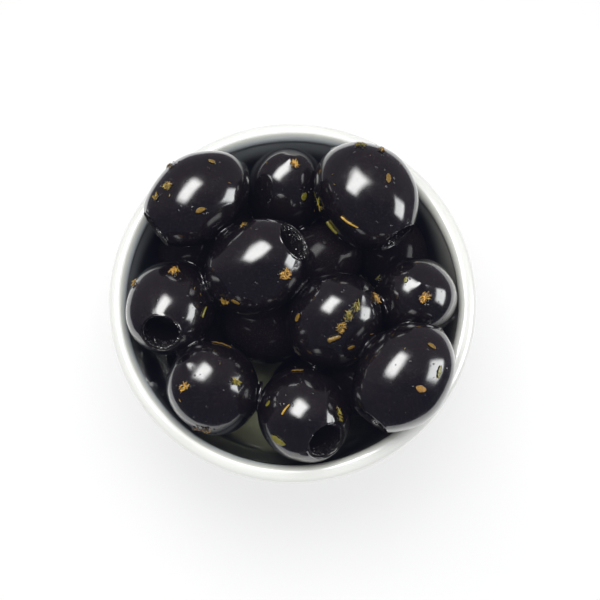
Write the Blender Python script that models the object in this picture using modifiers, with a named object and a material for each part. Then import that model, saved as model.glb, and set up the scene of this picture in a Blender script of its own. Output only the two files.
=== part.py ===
"""A dish of olives: a small white bowl, a heap of black olives with herbs on them, and a pool of oil."""

import math
import random

import bmesh
import bpy
import numpy as np
from mathutils import Matrix, Vector

MM = 0.001

# Driving dimensions of the dish, in millimetres. It stands on z = 0, centred on the z axis.
RIM_RADIUS = 45.0
DISH_HEIGHT = 40.0
BEAD_RADIUS = 2.2
WALL = 3.4
FLOOR_FLAT_RADIUS = 17.0
FLOOR_TOP = 6.0
FOOT_OUTER_RADIUS = 25.5
FOOT_INNER_RADIUS = 21.5
FOOT_CHAMFER = 0.6
# Handles of the wall's curve: how far out the floor runs, and the height where the wall stands up.
WALL_CURVE_OUT = 33.0
WALL_CURVE_UP = (38.8, 17.0)
WALL_STEPS = 11
# The rounded rim turns from its inner side, over the top, to its outer side.
BEAD_FROM = 202.5
BEAD_TO = -45.0
BEAD_STEPS = 11
TURN_STEPS = 48

# The oil lies in the bottom, up to this height, and keeps a thin gap to the dish and the olives.
OIL_LEVEL = 18.0
GAP = 0.3
OIL_CLEARANCE = 0.5
OIL_STEPS = 28

# Olives press into each other by this much where they touch, and stay this clear of the dish.
PRESS = 0.7
DISH_CLEARANCE = 0.4
# How the heap settles: rounds, the pull of each olive back to its place, the shove off an olive that
# it crosses, the pull to one that it nearly touches, and how much easier the hidden ones move.
SETTLE_ROUNDS = 260
SHELL_POINTS = 260
HOLD = 0.15
HIDDEN_HOLD = 0.10
SHOVE = 0.4
CLING = 0.10
CLING_REACH = 1.0
HIDDEN_EASE = 5.0

# Pitted olives: a round mouth and a blind bore behind it.
MOUTH_RADIUS = 5.1
BORE_RADIUS = 4.5
BORE_DEPTH = 13.0
BORE_END = 2.0
MOUTH_ROLL = 0.8
OLIVE_TURNS = 18
OLIVE_RINGS = 10
HIDDEN_TURNS = 12
HIDDEN_RINGS = 7

# The olives on top are laid out as they are seen by someone who looks down at this angle.
LOOK_DOWN = math.radians(78.0)
TOWARDS_EYE = Vector((0.0, -math.cos(LOOK_DOWN), math.sin(LOOK_DOWN)))
EYE_UP = Vector((0.0, math.sin(LOOK_DOWN), math.cos(LOOK_DOWN)))

# Each olive that shows: centre (x, y, z), length, width, then how far its mouth end (or, without a
# mouth, its tip) points right and up in that view, and whether its mouth shows.
TOP_OLIVES = {
    "top_left": ((-23.6, 24.0, 46.5), 28.8, 21.8, (-0.80, -0.58), True),
    "top_right": ((18.4, 24.2, 46.5), 29.4, 24.4, (0.575, -0.783), True),
    "middle_left": ((-9.9, 4.6, 45.6), 28.4, 23.6, (0.727, 0.484), True),
    "middle": ((10.4, -5.4, 44.5), 26.8, 23.2, (0.50, 0.50), False),
    "right": ((29.7, 1.0, 39.5), 25.0, 21.0, (0.10, 0.30), False),
    "low_right": ((26.7, -20.9, 48.0), 29.2, 23.2, (-0.61, -0.775), True),
    "bottom": ((2.2, -29.9, 41.0), 25.8, 22.6, (0.474, -0.535), True),
    "low_left": ((-19.6, -22.2, 41.5), 25.6, 22.6, (-0.50, 0.50), False),
    "left": ((-29.7, -1.2, 40.8), 28.4, 22.4, (-0.16, -0.51), True),
    "top_middle": ((-2.2, 28.7, 32.5), 25.2, 20.8, (0.10, 0.63), False),
}

# The olives below them lie in a ring on the floor, with a few more in the layer between.
RING_ANGLES = (58.0, 128.0, 200.0, 280.0, 345.0)
RING_SWINGS = (25.0, -20.0, 25.0, -30.0, 20.0)
RING_RADIUS = 20.8
RING_HEIGHT = 18.0
RING_LEAN = 0.30
RING_SIZE = (25.5, 20.8)
# Between the layers: centre, and the way the long axis points.
BETWEEN_OLIVES = (
    ((1.0, 3.5, 18.0), (0.8, 0.5, 0.2)),
    ((-9.0, 0.8, 30.5), (-0.9, 0.3, 0.2)),
    ((11.8, 13.5, 31.5), (0.8, 0.5, 0.1)),
    ((-24.0, 12.5, 29.5), (0.3, 0.9, 0.3)),
    ((17.0, -15.0, 30.0), (0.8, 0.4, 0.2)),
    ((25.5, 15.0, 28.0), (-0.5, 0.8, 0.2)),
)
BETWEEN_SIZE = (23.0, 19.0)

# Herbs that show on each olive: how far right of its middle and above it they are seen, their length
# and width, and how far the long side turns up from the horizontal, in degrees.
HERBS = {
    "top_left": ((1.0, -2.9, 2.2, 1.2, 20), (-7.1, 2.9, 2.5, 1.8, 40), (3.7, 9.1, 1.8, 0.9, -30),
                 (-6.9, 8.8, 2.2, 1.0, 30), (-10.0, 0.2, 1.8, 1.0, 60)),
    "top_right": ((5.1, 3.9, 2.4, 1.3, 60), (-4.4, -6.9, 5.0, 0.6, -29), (-1.5, 12.2, 3.2, 1.8, 0),
                  (-11.6, -2.2, 3.5, 0.8, -80), (-8.6, -8.0, 3.5, 0.9, -45), (3.4, 11.0, 1.8, 1.0, 20)),
    "middle_left": ((7.1, -1.7, 3.4, 2.4, 20), (-7.6, -8.4, 2.4, 1.4, -20), (-5.1, -8.6, 2.2, 1.2, 10),
                    (-3.0, 10.0, 1.8, 1.0, 10)),
    "middle": ((5.1, 3.2, 3.2, 2.0, 50), (3.4, 1.0, 3.6, 2.2, 60), (1.7, -1.7, 3.4, 2.0, 60),
               (0.0, -4.2, 2.6, 1.4, 45), (10.2, 5.3, 2.6, 2.2, 60), (-8.8, 0.7, 2.2, 1.2, 15),
               (4.2, -6.6, 1.8, 1.0, 0)),
    "right": ((2.0, 0.5, 3.2, 2.8, 40), (-2.5, 4.7, 2.0, 1.2, 30), (-9.0, 5.1, 1.8, 1.0, 0)),
    "low_right": ((6.6, 7.8, 2.2, 1.2, -20), (8.3, 1.5, 2.0, 1.1, 60), (3.7, -2.5, 2.4, 1.6, 30)),
    "bottom": ((-1.5, 11.0, 2.8, 1.2, 0), (-8.6, 2.9, 2.2, 1.2, 60), (-4.4, 1.7, 2.6, 0.7, 50),
               (-6.1, -5.9, 4.4, 2.0, -10), (8.6, 0.4, 4.0, 0.8, -78)),
    "low_left": ((2.2, 10.8, 4.6, 1.0, 10), (-6.6, 0.7, 2.6, 1.8, 20), (5.6, 2.0, 2.4, 1.4, 20),
                 (-2.5, -9.9, 4.5, 0.9, -5)),
    "left": ((1.0, 8.8, 3.0, 2.6, 40), (-8.6, 5.6, 1.8, 1.0, 50), (8.4, -1.2, 3.0, 0.6, 60)),
    "top_middle": ((2.2, 6.4, 2.2, 1.4, 30), (4.4, -1.5, 2.0, 1.1, 70)),
}
HERB_THICKNESS = 1.2
HERB_RAISED = 0.25
HERB_RAGGED = 0.18

HERB_SEED = 7
# Edges of the heap that are sharper than this stay crisp, such as a mouth's rim.
SHARP_ANGLE = math.radians(50.0)

# Each finish: colour and roughness.
SKIN = ((0.012, 0.010, 0.013, 1.0), 0.2)
GLAZE = ((0.86, 0.87, 0.85, 1.0), 0.12)
OIL = ((0.30, 0.32, 0.08, 1.0), 0.05)


def bezier(start, start_handle, end_handle, end, steps):
    """Points along a cubic curve, both ends included."""
    points = []
    for step in range(steps + 1):
        t = step / steps
        weights = ((1 - t) ** 3, 3 * (1 - t) ** 2 * t, 3 * (1 - t) * t * t, t**3)
        corners = (start, start_handle, end_handle, end)
        points.append(tuple(sum(w * c[axis] for w, c in zip(weights, corners)) for axis in (0, 1)))
    return points


def wall_line(steps):
    """The middle of the dish's wall, from the edge of the flat floor up to the bead, as (radius, height)."""
    floor_middle = FLOOR_TOP - WALL / 2
    return bezier(
        (FLOOR_FLAT_RADIUS, floor_middle),
        (WALL_CURVE_OUT, floor_middle),
        WALL_CURVE_UP,
        (RIM_RADIUS - BEAD_RADIUS, DISH_HEIGHT - BEAD_RADIUS),
        steps,
    )


def offset(line, distance):
    """The line moved sideways, to its left as it runs, by the given distance."""
    moved = []
    for index, (radius, height) in enumerate(line):
        before = line[max(index - 1, 0)]
        after = line[min(index + 1, len(line) - 1)]
        run, rise = after[0] - before[0], after[1] - before[1]
        size = math.hypot(run, rise)
        moved.append((radius - rise / size * distance, height + run / size * distance))
    return moved


def crossing(line, axis, value):
    """The point of the line where its radius (axis 0) or its height (axis 1) first passes the value."""
    for before, after in zip(line, line[1:]):
        if before[axis] <= value <= after[axis]:
            share = (value - before[axis]) / (after[axis] - before[axis])
            return tuple(b + (a - b) * share for b, a in zip(before, after))
    raise ValueError("the line doesn't reach that far")


def bead_arc(steps):
    """The rounded rim, from where the inner wall meets it, over the top, to the outer wall."""
    arc = []
    for step in range(steps + 1):
        angle = math.radians(BEAD_FROM + (BEAD_TO - BEAD_FROM) * step / steps)
        radius = RIM_RADIUS - BEAD_RADIUS + BEAD_RADIUS * math.cos(angle)
        height = DISH_HEIGHT - BEAD_RADIUS + BEAD_RADIUS * math.sin(angle)
        arc.append((radius, height))
    return arc


def dish_outline():
    """The turned outline of the dish, from the middle of its floor, over the rim, to the middle below."""
    line = wall_line(WALL_STEPS)
    inner = [(0.0, FLOOR_TOP)] + offset(line, WALL / 2)[:-1]
    outer = offset(line, -WALL / 2)
    foot_root = crossing(outer, 0, FOOT_OUTER_RADIUS + FOOT_CHAMFER)
    outer = [foot_root] + [point for point in outer[:-1] if point[0] > FOOT_OUTER_RADIUS + 2 * FOOT_CHAMFER]
    underside = FLOOR_TOP - WALL
    foot = [
        (FOOT_OUTER_RADIUS, foot_root[1] - FOOT_CHAMFER),
        (FOOT_OUTER_RADIUS, FOOT_CHAMFER),
        (FOOT_OUTER_RADIUS - FOOT_CHAMFER, 0.0),
        (FOOT_INNER_RADIUS + FOOT_CHAMFER, 0.0),
        (FOOT_INNER_RADIUS, FOOT_CHAMFER),
        (FOOT_INNER_RADIUS - FOOT_CHAMFER, underside),
        (0.0, underside),
    ]
    return inner + bead_arc(BEAD_STEPS) + outer[::-1] + foot


def turned(name, outline, steps, collection):
    """A solid turned round the z axis from an outline that starts and ends on it."""
    mesh = bpy.data.meshes.new(name)
    points = [(radius * MM, 0.0, height * MM) for radius, height in outline]
    mesh.from_pydata(points, [(i, i + 1) for i in range(len(points) - 1)], [])
    piece = bpy.data.objects.new(name, mesh)
    collection.objects.link(piece)
    screw = piece.modifiers.new("Turn", "SCREW")
    screw.steps = steps
    screw.render_steps = steps
    screw.use_merge_vertices = True
    screw.merge_threshold = 0.00001
    screw.use_smooth_shade = True
    return piece


def apply_modifiers(piece):
    """The piece's mesh as its modifiers make it, kept as its own mesh."""
    bpy.context.view_layer.update()
    graph = bpy.context.evaluated_depsgraph_get()
    mesh = bpy.data.meshes.new_from_object(piece.evaluated_get(graph))
    piece.modifiers.clear()
    piece.data = mesh


def material(name, look):
    """A plain finish."""
    colour, roughness = look
    finish = bpy.data.materials.new(name)
    finish.use_nodes = True
    shader = finish.node_tree.nodes["Principled BSDF"]
    shader.inputs["Base Color"].default_value = colour
    shader.inputs["Roughness"].default_value = roughness
    shader.inputs["Metallic"].default_value = 0.0
    return finish


def frame_of(direction):
    """Three axes as columns, the third along the given direction."""
    along = Vector(direction).normalized()
    side = Vector((0.0, 0.0, 1.0)).cross(along).normalized()
    return np.array(Matrix((side, along.cross(side), along)).transposed())


def seen_direction(right, up):
    """A unit direction that shows as (right, up) in the view, its third part towards the eye."""
    depth = math.sqrt(max(0.0, 1.0 - right * right - up * up))
    return Vector((right, 0.0, 0.0)) + EYE_UP * up + TOWARDS_EYE * depth


def laid_olives():
    """Every olive as a dict, before the heap settles."""
    olives = []
    for index, angle in enumerate(RING_ANGLES):
        turn = math.radians(angle)
        swing = math.radians(angle + RING_SWINGS[index])
        olives.append({
            "name": f"ring_{index}",
            "place": (RING_RADIUS * math.cos(turn), RING_RADIUS * math.sin(turn), RING_HEIGHT),
            "size": RING_SIZE,
            "frame": frame_of((math.cos(swing), math.sin(swing), RING_LEAN)),
            "mouth": False,
            "shows": False,
        })
    for index, (place, direction) in enumerate(BETWEEN_OLIVES):
        olives.append({
            "name": f"between_{index}",
            "place": place,
            "size": BETWEEN_SIZE,
            "frame": frame_of(direction),
            "mouth": False,
            "shows": False,
        })
    for name, (place, length, width, (right, up), mouth) in TOP_OLIVES.items():
        olives.append({
            "name": name,
            "place": place,
            "size": (length, width),
            "frame": frame_of(seen_direction(right, up)),
            "mouth": mouth,
            "shows": True,
        })
    return olives


def even_sphere(count):
    """Points spread evenly over a unit sphere, on a spiral."""
    index = np.arange(count) + 0.5
    polar = np.arccos(1 - 2 * index / count)
    turn = math.pi * (1 + math.sqrt(5)) * index
    return np.stack([np.cos(turn) * np.sin(polar), np.sin(turn) * np.sin(polar), np.cos(polar)], axis=1)


def radii(olive):
    """Half the olive's size along the three axes of its own frame."""
    length, width = olive["size"]
    return np.array((width / 2, width / 2, length / 2))


def settle(olives):
    """Pushes the olives off each other and off the dish until they only press together lightly."""
    sphere = even_sphere(SHELL_POINTS)
    floor = [(float(radius), FLOOR_TOP - WALL / 2) for radius in range(round(FLOOR_FLAT_RADIUS))]
    line = np.array(floor + wall_line(4 * WALL_STEPS))
    thick = np.full(len(line), WALL / 2)
    thick[-1] = BEAD_RADIUS
    home = np.array([olive["place"] for olive in olives])
    centres = home.copy()
    shells = [sphere * radii(olive) @ olive["frame"].T for olive in olives]
    held = np.array([HOLD if olive["shows"] else HIDDEN_HOLD for olive in olives])
    easy = np.array([1.0 if olive["shows"] else HIDDEN_EASE for olive in olives])
    for _ in range(SETTLE_ROUNDS):
        move = (home - centres) * held[:, None]
        for i, first in enumerate(olives):
            for j, second in enumerate(olives):
                apart = np.linalg.norm(centres[i] - centres[j])
                if i == j or apart > (first["size"][0] + second["size"][0]) / 2:
                    continue
                local = (shells[i] + centres[i] - centres[j]) @ second["frame"] / radii(second)
                reach = np.linalg.norm(local, axis=1)
                deepest = reach.argmin()
                outward = second["frame"] @ (local[deepest] / radii(second))
                outward /= np.linalg.norm(outward)
                push = (1 - reach[deepest]) * second["size"][1] / 2 - PRESS
                if push > -PRESS - CLING_REACH:
                    step = push * (SHOVE if push > 0 else CLING) * outward / (easy[i] + easy[j])
                    move[i] += step * easy[i]
                    move[j] -= step * easy[j]
        centres += move
        for i in range(len(olives)):
            shell = shells[i] + centres[i]
            radius = np.hypot(shell[:, 0], shell[:, 1])
            away = np.stack([radius[:, None] - line[:, 0], shell[:, 2][:, None] - line[:, 1]], axis=2)
            space = np.linalg.norm(away, axis=2) - thick - DISH_CLEARANCE
            point, nearest = np.unravel_index(space.argmin(), space.shape)
            if space[point, nearest] < 0:
                lift = -space[point, nearest] * away[point, nearest] / np.linalg.norm(away[point, nearest])
                centres[i] += (
                    lift[0] * shell[point, 0] / radius[point],
                    lift[0] * shell[point, 1] / radius[point],
                    lift[1],
                )
    for olive, centre in zip(olives, centres):
        olive["place"] = tuple(centre)
    return olives


def mouth_height(olive):
    """How far along the olive's axis its mouth lies."""
    across, _, along = radii(olive)
    return along * math.sqrt(1 - (MOUTH_RADIUS / across) ** 2)


def olive_outline(olive, rings, grow=0.0):
    """The turned outline of an olive along its own z axis, from its mouth or top down to its tip."""
    across, _, along = radii(olive) + grow
    start = math.asin(MOUTH_RADIUS / across) if olive["mouth"] else 0.0
    outline = []
    for ring in range(rings + 1):
        angle = start + (math.pi - start) * ring / rings
        outline.append((across * math.sin(angle), along * math.cos(angle)))
    outline[-1] = (0.0, -along)
    if not olive["mouth"]:
        outline[0] = (0.0, along)
        return outline
    top = mouth_height(olive)
    bore = [
        (0.0, top - BORE_DEPTH),
        (BORE_RADIUS * 0.6, top - BORE_DEPTH + BORE_END / 4),
        (BORE_RADIUS * 0.9, top - BORE_DEPTH + BORE_END),
        (BORE_RADIUS, top - MOUTH_ROLL),
    ]
    return bore + outline


def olive_piece(olive, turns, rings, collection, grow=0.0):
    """One olive, turned and set in its place."""
    piece = turned(olive["name"], olive_outline(olive, rings, grow), turns, collection)
    apply_modifiers(piece)
    place = Matrix(olive["frame"].tolist()).to_4x4()
    place.translation = Vector(olive["place"]) * MM
    piece.data.transform(place)
    return piece


def on_skin(olive, point):
    """The spot on the olive's skin straight out from its middle through the point, and the way out there."""
    size = radii(olive)
    local = (np.array(point) - np.array(olive["place"])) @ olive["frame"]
    local /= np.linalg.norm(local / size)
    outward = Vector(olive["frame"] @ (local / size**2)).normalized()
    return Vector(olive["frame"] @ local) + Vector(olive["place"]), outward


def seen_spot(olive, right, up):
    """The spot on the olive's skin that the viewer sees that far right of its middle and above it."""
    size = radii(olive)
    start = (Vector((right, 0.0, 0.0)) + EYE_UP * up) @ Matrix(olive["frame"].tolist())
    way = TOWARDS_EYE @ Matrix(olive["frame"].tolist())
    start, way = np.array(start) / size, np.array(way) / size
    a, b, c = way @ way, 2 * start @ way, start @ start - 1
    root = math.sqrt(max(0.0, b * b - 4 * a * c))
    local = (start + way * (root - b) / (2 * a)) * size
    return on_skin(olive, olive["frame"] @ local + np.array(olive["place"]))


def herb_piece(olive, herb, chance, collection):
    """A bit of dried leaf or stalk that follows the olive's skin, half sunk in its oily coat."""
    right, up, length, width, turn = herb
    spot, outward = seen_spot(olive, right, up)
    lean = math.radians(turn)
    along = Vector((math.cos(lean), 0.0, 0.0)) + EYE_UP * math.sin(lean)
    along = (along - outward * along.dot(outward)).normalized()
    across = outward.cross(along)
    shape = bmesh.new()
    bmesh.ops.create_icosphere(shape, subdivisions=1, radius=1.0)
    for vertex in shape.verts:
        ragged = 1 + chance.uniform(-HERB_RAGGED, HERB_RAGGED)
        flat = spot + along * vertex.co.x * length / 2 * ragged + across * vertex.co.y * width / 2 * ragged
        skin, out = on_skin(olive, flat)
        vertex.co = (skin + out * (vertex.co.z * HERB_THICKNESS / 2 + HERB_RAISED)) * MM
    mesh = bpy.data.meshes.new("herb")
    shape.to_mesh(mesh)
    shape.free()
    piece = bpy.data.objects.new("herb", mesh)
    collection.objects.link(piece)
    return piece


def helper_collection(name):
    """A collection for cutters and pieces that get joined, which isn't part of the object."""
    collection = bpy.data.collections.new(name)
    bpy.context.scene.collection.children.link(collection)
    collection.hide_render = True
    return collection


def combine(base, operation, helpers):
    """Joins the helpers to the base, or cuts them from it, and then removes them."""
    for helper in helpers.objects:
        helper.hide_render = True
        helper.display_type = "WIRE"
    boolean = base.modifiers.new(operation.title(), "BOOLEAN")
    boolean.operation = operation
    boolean.operand_type = "COLLECTION"
    boolean.collection = helpers
    boolean.solver = "EXACT"
    apply_modifiers(base)
    for helper in list(helpers.objects):
        bpy.data.objects.remove(helper)
    bpy.data.collections.remove(helpers)


def keep_largest_body(piece):
    """Drops the loose scraps that a cut leaves beside the main body."""
    shape = bmesh.new()
    shape.from_mesh(piece.data)
    waiting = set(shape.verts)
    bodies = []
    while waiting:
        body, edge_of_body = set(), [waiting.pop()]
        while edge_of_body:
            vertex = edge_of_body.pop()
            body.add(vertex)
            near = {edge.other_vert(vertex) for edge in vertex.link_edges} & waiting
            waiting -= near
            edge_of_body.extend(near)
        bodies.append(body)
    bodies.sort(key=len)
    for scrap in bodies[:-1]:
        bmesh.ops.delete(shape, geom=list(scrap), context="VERTS")
    shape.to_mesh(piece.data)
    shape.free()


def build_dish(parts):
    """The white bowl, turned in one piece with its rounded rim and its foot ring."""
    dish = turned("dish", dish_outline(), TURN_STEPS, parts)
    dish.data.materials.append(material("white_glaze", GLAZE))


def build_heap(parts, olives):
    """The olives fused into one heap, with the herbs that show on them."""
    helpers = helper_collection("heap_pieces")
    chance = random.Random(HERB_SEED)
    for olive in olives[1:]:
        turns, rings = (OLIVE_TURNS, OLIVE_RINGS) if olive["shows"] else (HIDDEN_TURNS, HIDDEN_RINGS)
        olive_piece(olive, turns, rings, helpers)
        for herb in HERBS.get(olive["name"], ()):
            herb_piece(olive, herb, chance, helpers)
    heap = olive_piece(olives[0], HIDDEN_TURNS, HIDDEN_RINGS, parts)
    heap.name = "olives"
    combine(heap, "UNION", helpers)
    heap.data.materials.clear()
    heap.data.materials.append(material("olive_skin", SKIN))
    heap.data.shade_smooth()
    heap.data.set_sharp_from_angle(angle=SHARP_ANGLE)


def build_oil(parts, olives):
    """The pool in the bottom of the dish, round the olives that lie in it."""
    wall = offset(wall_line(WALL_STEPS), WALL / 2 + GAP)
    side = [point for point in wall if point[1] < OIL_LEVEL] + [crossing(wall, 1, OIL_LEVEL)]
    outline = [(0.0, OIL_LEVEL)] + side[::-1] + [(0.0, FLOOR_TOP + GAP)]
    oil = turned("oil", outline, OIL_STEPS, parts)
    apply_modifiers(oil)
    cutters = helper_collection("oil_cutters")
    for olive in olives:
        if not olive["shows"]:
            olive_piece(olive, HIDDEN_TURNS, HIDDEN_RINGS, cutters, OIL_CLEARANCE)
    combine(oil, "DIFFERENCE", cutters)
    keep_largest_body(oil)
    oil.data.materials.clear()
    oil.data.materials.append(material("olive_oil", OIL))


def main():
    """Clears the scene and builds the dish, the heap and the oil."""
    for thing in list(bpy.data.objects):
        bpy.data.objects.remove(thing)
    parts = bpy.data.collections.new("dish_of_olives")
    bpy.context.scene.collection.children.link(parts)
    olives = settle(laid_olives())
    build_dish(parts)
    build_heap(parts, olives)
    build_oil(parts, olives)


main()
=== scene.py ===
# %% [markdown]
# # A dish of black olives
# The bowl is white glazed porcelain, and the olives are pitted, black and wet with oil, with bits of dried
# herb stuck to them. The measured model gives three plain solids: the dish, the heap and the oil. This
# lesson dresses them. Every finer shape is worked out from the same few sizes, so it lands in the same place.

import math
import random

import bmesh
import bpy
import numpy as np
from mathutils import Matrix, Vector, noise


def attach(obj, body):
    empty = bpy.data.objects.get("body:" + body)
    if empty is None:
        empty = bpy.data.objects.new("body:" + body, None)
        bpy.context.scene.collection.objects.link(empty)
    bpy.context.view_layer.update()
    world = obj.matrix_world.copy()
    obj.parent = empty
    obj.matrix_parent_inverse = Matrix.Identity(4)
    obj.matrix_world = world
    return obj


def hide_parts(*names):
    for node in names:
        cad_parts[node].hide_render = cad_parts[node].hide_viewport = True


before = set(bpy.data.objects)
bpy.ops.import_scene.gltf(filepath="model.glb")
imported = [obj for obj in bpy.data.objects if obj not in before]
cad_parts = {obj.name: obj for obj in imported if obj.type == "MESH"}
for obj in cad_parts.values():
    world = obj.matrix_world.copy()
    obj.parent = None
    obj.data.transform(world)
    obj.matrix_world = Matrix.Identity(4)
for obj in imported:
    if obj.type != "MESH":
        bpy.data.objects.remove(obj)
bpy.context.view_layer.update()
MM = 0.001

# %% [markdown]
# ## The camera
# The bowl is seen from almost straight above, tilted 12 degrees towards its near side. A camera is placed by
# the three directions that it needs: its right, its up, and the way back to the eye. A long lens from far
# off keeps the rim a nearly true ellipse, and a small shift sets the bowl left of the middle of the frame.
# Stray light in a real lens lifts the deepest blacks to a bluish grey, so the black level sits below zero.

# %% Camera
LOOK_DOWN = math.radians(78.0)
TOWARDS_EYE = Vector((0.0, -math.cos(LOOK_DOWN), math.sin(LOOK_DOWN)))
EYE_UP = Vector((0.0, math.sin(LOOK_DOWN), math.cos(LOOK_DOWN)))
AIM = Vector((0.0, 0.0, 37.8)) * MM
EYE_DISTANCE = 0.7
FRAME_PIXELS = 600
PIXELS_PER_MM = 4.078
AIM_PIXEL = (292.5, 301.5)
SENSOR = 36.0
HAZE = (-0.0034, -0.0036, -0.0066)


def in_scene(name, data):
    """A new object that holds this data, placed in the scene."""
    thing = bpy.data.objects.new(name, data)
    bpy.context.scene.collection.objects.link(thing)
    return thing


camera_data = bpy.data.cameras.new("eye")
camera_data.sensor_width = SENSOR
camera_data.lens = PIXELS_PER_MM / MM * EYE_DISTANCE * SENSOR / FRAME_PIXELS
camera_data.shift_x = (FRAME_PIXELS / 2 - AIM_PIXEL[0]) / FRAME_PIXELS
camera_data.shift_y = (AIM_PIXEL[1] - FRAME_PIXELS / 2) / FRAME_PIXELS
camera = in_scene("eye", camera_data)
turn = Matrix((Vector((1.0, 0.0, 0.0)), EYE_UP, TOWARDS_EYE)).transposed()
camera.matrix_world = Matrix.Translation(AIM + TOWARDS_EYE * EYE_DISTANCE) @ turn.to_4x4()
bpy.context.scene.camera = camera
view = bpy.context.scene.view_settings
view.view_transform = "Standard"
view.use_curve_mapping = True
view.curve_mapping.black_level = HAZE
view.curve_mapping.update()
print("lens", round(camera_data.lens, 1), "mm")

# %% [markdown]
# ## Studio light
# Wet black things show little but what they mirror, so the light is built from what the olives show: one
# slanted soft box above, one long low panel on the right, and a dim room. An area light whose edge fades
# makes a highlight with a soft edge. These two are for mirrors only. A third box, which no mirror shows,
# lights what is white and throws the soft shadow. The room is a world colour that changes with direction:
# mirrors see it dim, white things get a soft fill from it, and the eye sees plain white behind the floor.

# %% Steps for node trees
def link(tree, source, target):
    tree.links.new(source, target)


def feed(tree, socket, value):
    """Gives a socket a plain value, or what another node sends out."""
    if isinstance(value, bpy.types.NodeSocket):
        link(tree, value, socket)
    else:
        socket.default_value = value


def step_between(tree, value, low, high):
    """A soft step from 0 below low to 1 above high."""
    ramp = tree.nodes.new("ShaderNodeMapRange")
    ramp.interpolation_type = "SMOOTHSTEP"
    ramp.inputs["From Min"].default_value = low
    ramp.inputs["From Max"].default_value = high
    link(tree, value, ramp.inputs["Value"])
    return ramp.outputs["Result"]


def calculate(tree, operation, first, second):
    """One sum of two sockets or numbers."""
    sum_node = tree.nodes.new("ShaderNodeMath")
    sum_node.operation = operation
    feed(tree, sum_node.inputs[0], first)
    feed(tree, sum_node.inputs[1], second)
    return sum_node.outputs["Value"]


# %% A soft box
def fade_edges(tree, fade):
    """Lets a lamp's glow fade over these shares of its width and of its length."""
    place = tree.nodes.new("ShaderNodeNewGeometry")
    sides = tree.nodes.new("ShaderNodeSeparateXYZ")
    link(tree, place.outputs["Parametric"], sides.inputs["Vector"])
    strength = None
    for axis, share in zip("XY", fade):
        from_far_edge = calculate(tree, "SUBTRACT", 1.0, sides.outputs[axis])
        edge = calculate(tree, "MINIMUM", sides.outputs[axis], from_far_edge)
        soft = step_between(tree, edge, 0.0, share)
        strength = soft if strength is None else calculate(tree, "MULTIPLY", strength, soft)
    link(tree, strength, tree.nodes["Emission"].inputs["Strength"])


def soft_box(name, towards, distance, long_way, size, brightness, colour, fade):
    """An area light that faces the bowl. Its brightness is that of its face, whatever its size."""
    data = bpy.data.lights.new(name, "AREA")
    data.shape = "RECTANGLE"
    data.size, data.size_y = size
    data.energy = brightness * math.pi * data.size * data.size_y
    data.color = colour
    data.use_nodes = True
    fade_edges(data.node_tree, fade)
    lamp = in_scene(name, data)
    away = Vector(towards).normalized()
    side = Vector(long_way).cross(away).normalized()
    facing = Matrix((side, away.cross(side), away)).transposed().to_4x4()
    lamp.matrix_world = Matrix.Translation(AIM + away * distance) @ facing
    print(name, "at", [round(x, 2) for x in lamp.matrix_world.translation])
    return lamp


# %% The three lamps
UPRIGHT = (0.0, 0.0, 1.0)
LEVEL = (0.0, 1.0, 0.0)
SLANTED = (0.59, 0.81, 0.0)
LAMPS = {
    "slanted_box": {
        "towards": (-0.29, 0.31, 0.90), "distance": 0.60, "long_way": SLANTED, "size": (0.42, 0.64),
        "brightness": 11.5, "colour": (1.0, 1.0, 0.99), "fade": (0.36, 0.26),
    },
    "right_panel": {
        "towards": (0.93, -0.06, 0.30), "distance": 0.24, "long_way": UPRIGHT, "size": (0.16, 0.17),
        "brightness": 8.0, "colour": (0.98, 1.0, 1.0), "fade": (0.24, 0.24),
    },
    "key_box": {
        "towards": (-0.06, 0.30, 0.95), "distance": 0.60, "long_way": LEVEL, "size": (0.50, 0.50),
        "brightness": 3.0, "colour": (1.0, 1.0, 0.99), "fade": (0.1, 0.1),
    },
}
lamps = {name: soft_box(name, **setting) for name, setting in LAMPS.items()}
for mirrored in ("slanted_box", "right_panel"):
    lamps[mirrored].visible_diffuse = False
lamps["key_box"].visible_glossy = False

# %% Room
FAR_SIDE = (0.150, 0.133, 0.156, 1.0)
NEAR_SIDE = (0.040, 0.043, 0.066, 1.0)
ROOM_TURNS = (-0.55, 0.55)
FILL = (0.86, 0.865, 0.86, 1.0)
BACKGROUND = (1.0, 1.0, 1.0, 1.0)
MIX_COLOURS = (6, 7)
MIXED = 2


def mixed_colour(tree, share, first, second, blend="MIX"):
    """A colour between two, by a share from 0 to 1. A Mix node tells its colour sockets by number."""
    mix = tree.nodes.new("ShaderNodeMix")
    mix.data_type = "RGBA"
    mix.blend_type = blend
    feed(tree, mix.inputs["Factor"], share)
    for number, value in zip(MIX_COLOURS, (first, second)):
        feed(tree, mix.inputs[number], value)
    return mix.outputs[MIXED]


def studio_room():
    """The world: dim for mirrors, warmer on the far side, a soft fill for white things, white for the eye."""
    world = bpy.data.worlds.new("studio_room")
    bpy.context.scene.world = world
    world.use_nodes = True
    tree = world.node_tree
    place = tree.nodes.new("ShaderNodeTexCoord")
    sides = tree.nodes.new("ShaderNodeSeparateXYZ")
    link(tree, place.outputs["Generated"], sides.inputs["Vector"])
    room = mixed_colour(tree, step_between(tree, sides.outputs["Y"], *ROOM_TURNS), NEAR_SIDE, FAR_SIDE)
    ray = tree.nodes.new("ShaderNodeLightPath")
    room = mixed_colour(tree, ray.outputs["Is Diffuse Ray"], room, FILL)
    room = mixed_colour(tree, ray.outputs["Is Camera Ray"], room, BACKGROUND)
    link(tree, room, tree.nodes["Background"].inputs["Color"])
    print("the room's tree has", len(tree.nodes), "nodes")


studio_room()

# %% [markdown]
# ## The floor
# The bowl stands on a round white table top. It glows a little of its own, as a table lit from all round
# does, which keeps the bowl's shadow pale. It ends just outside the view: the olives mirror it at their
# edges, and a wider one would draw a broad pale band round each of them.

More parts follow.
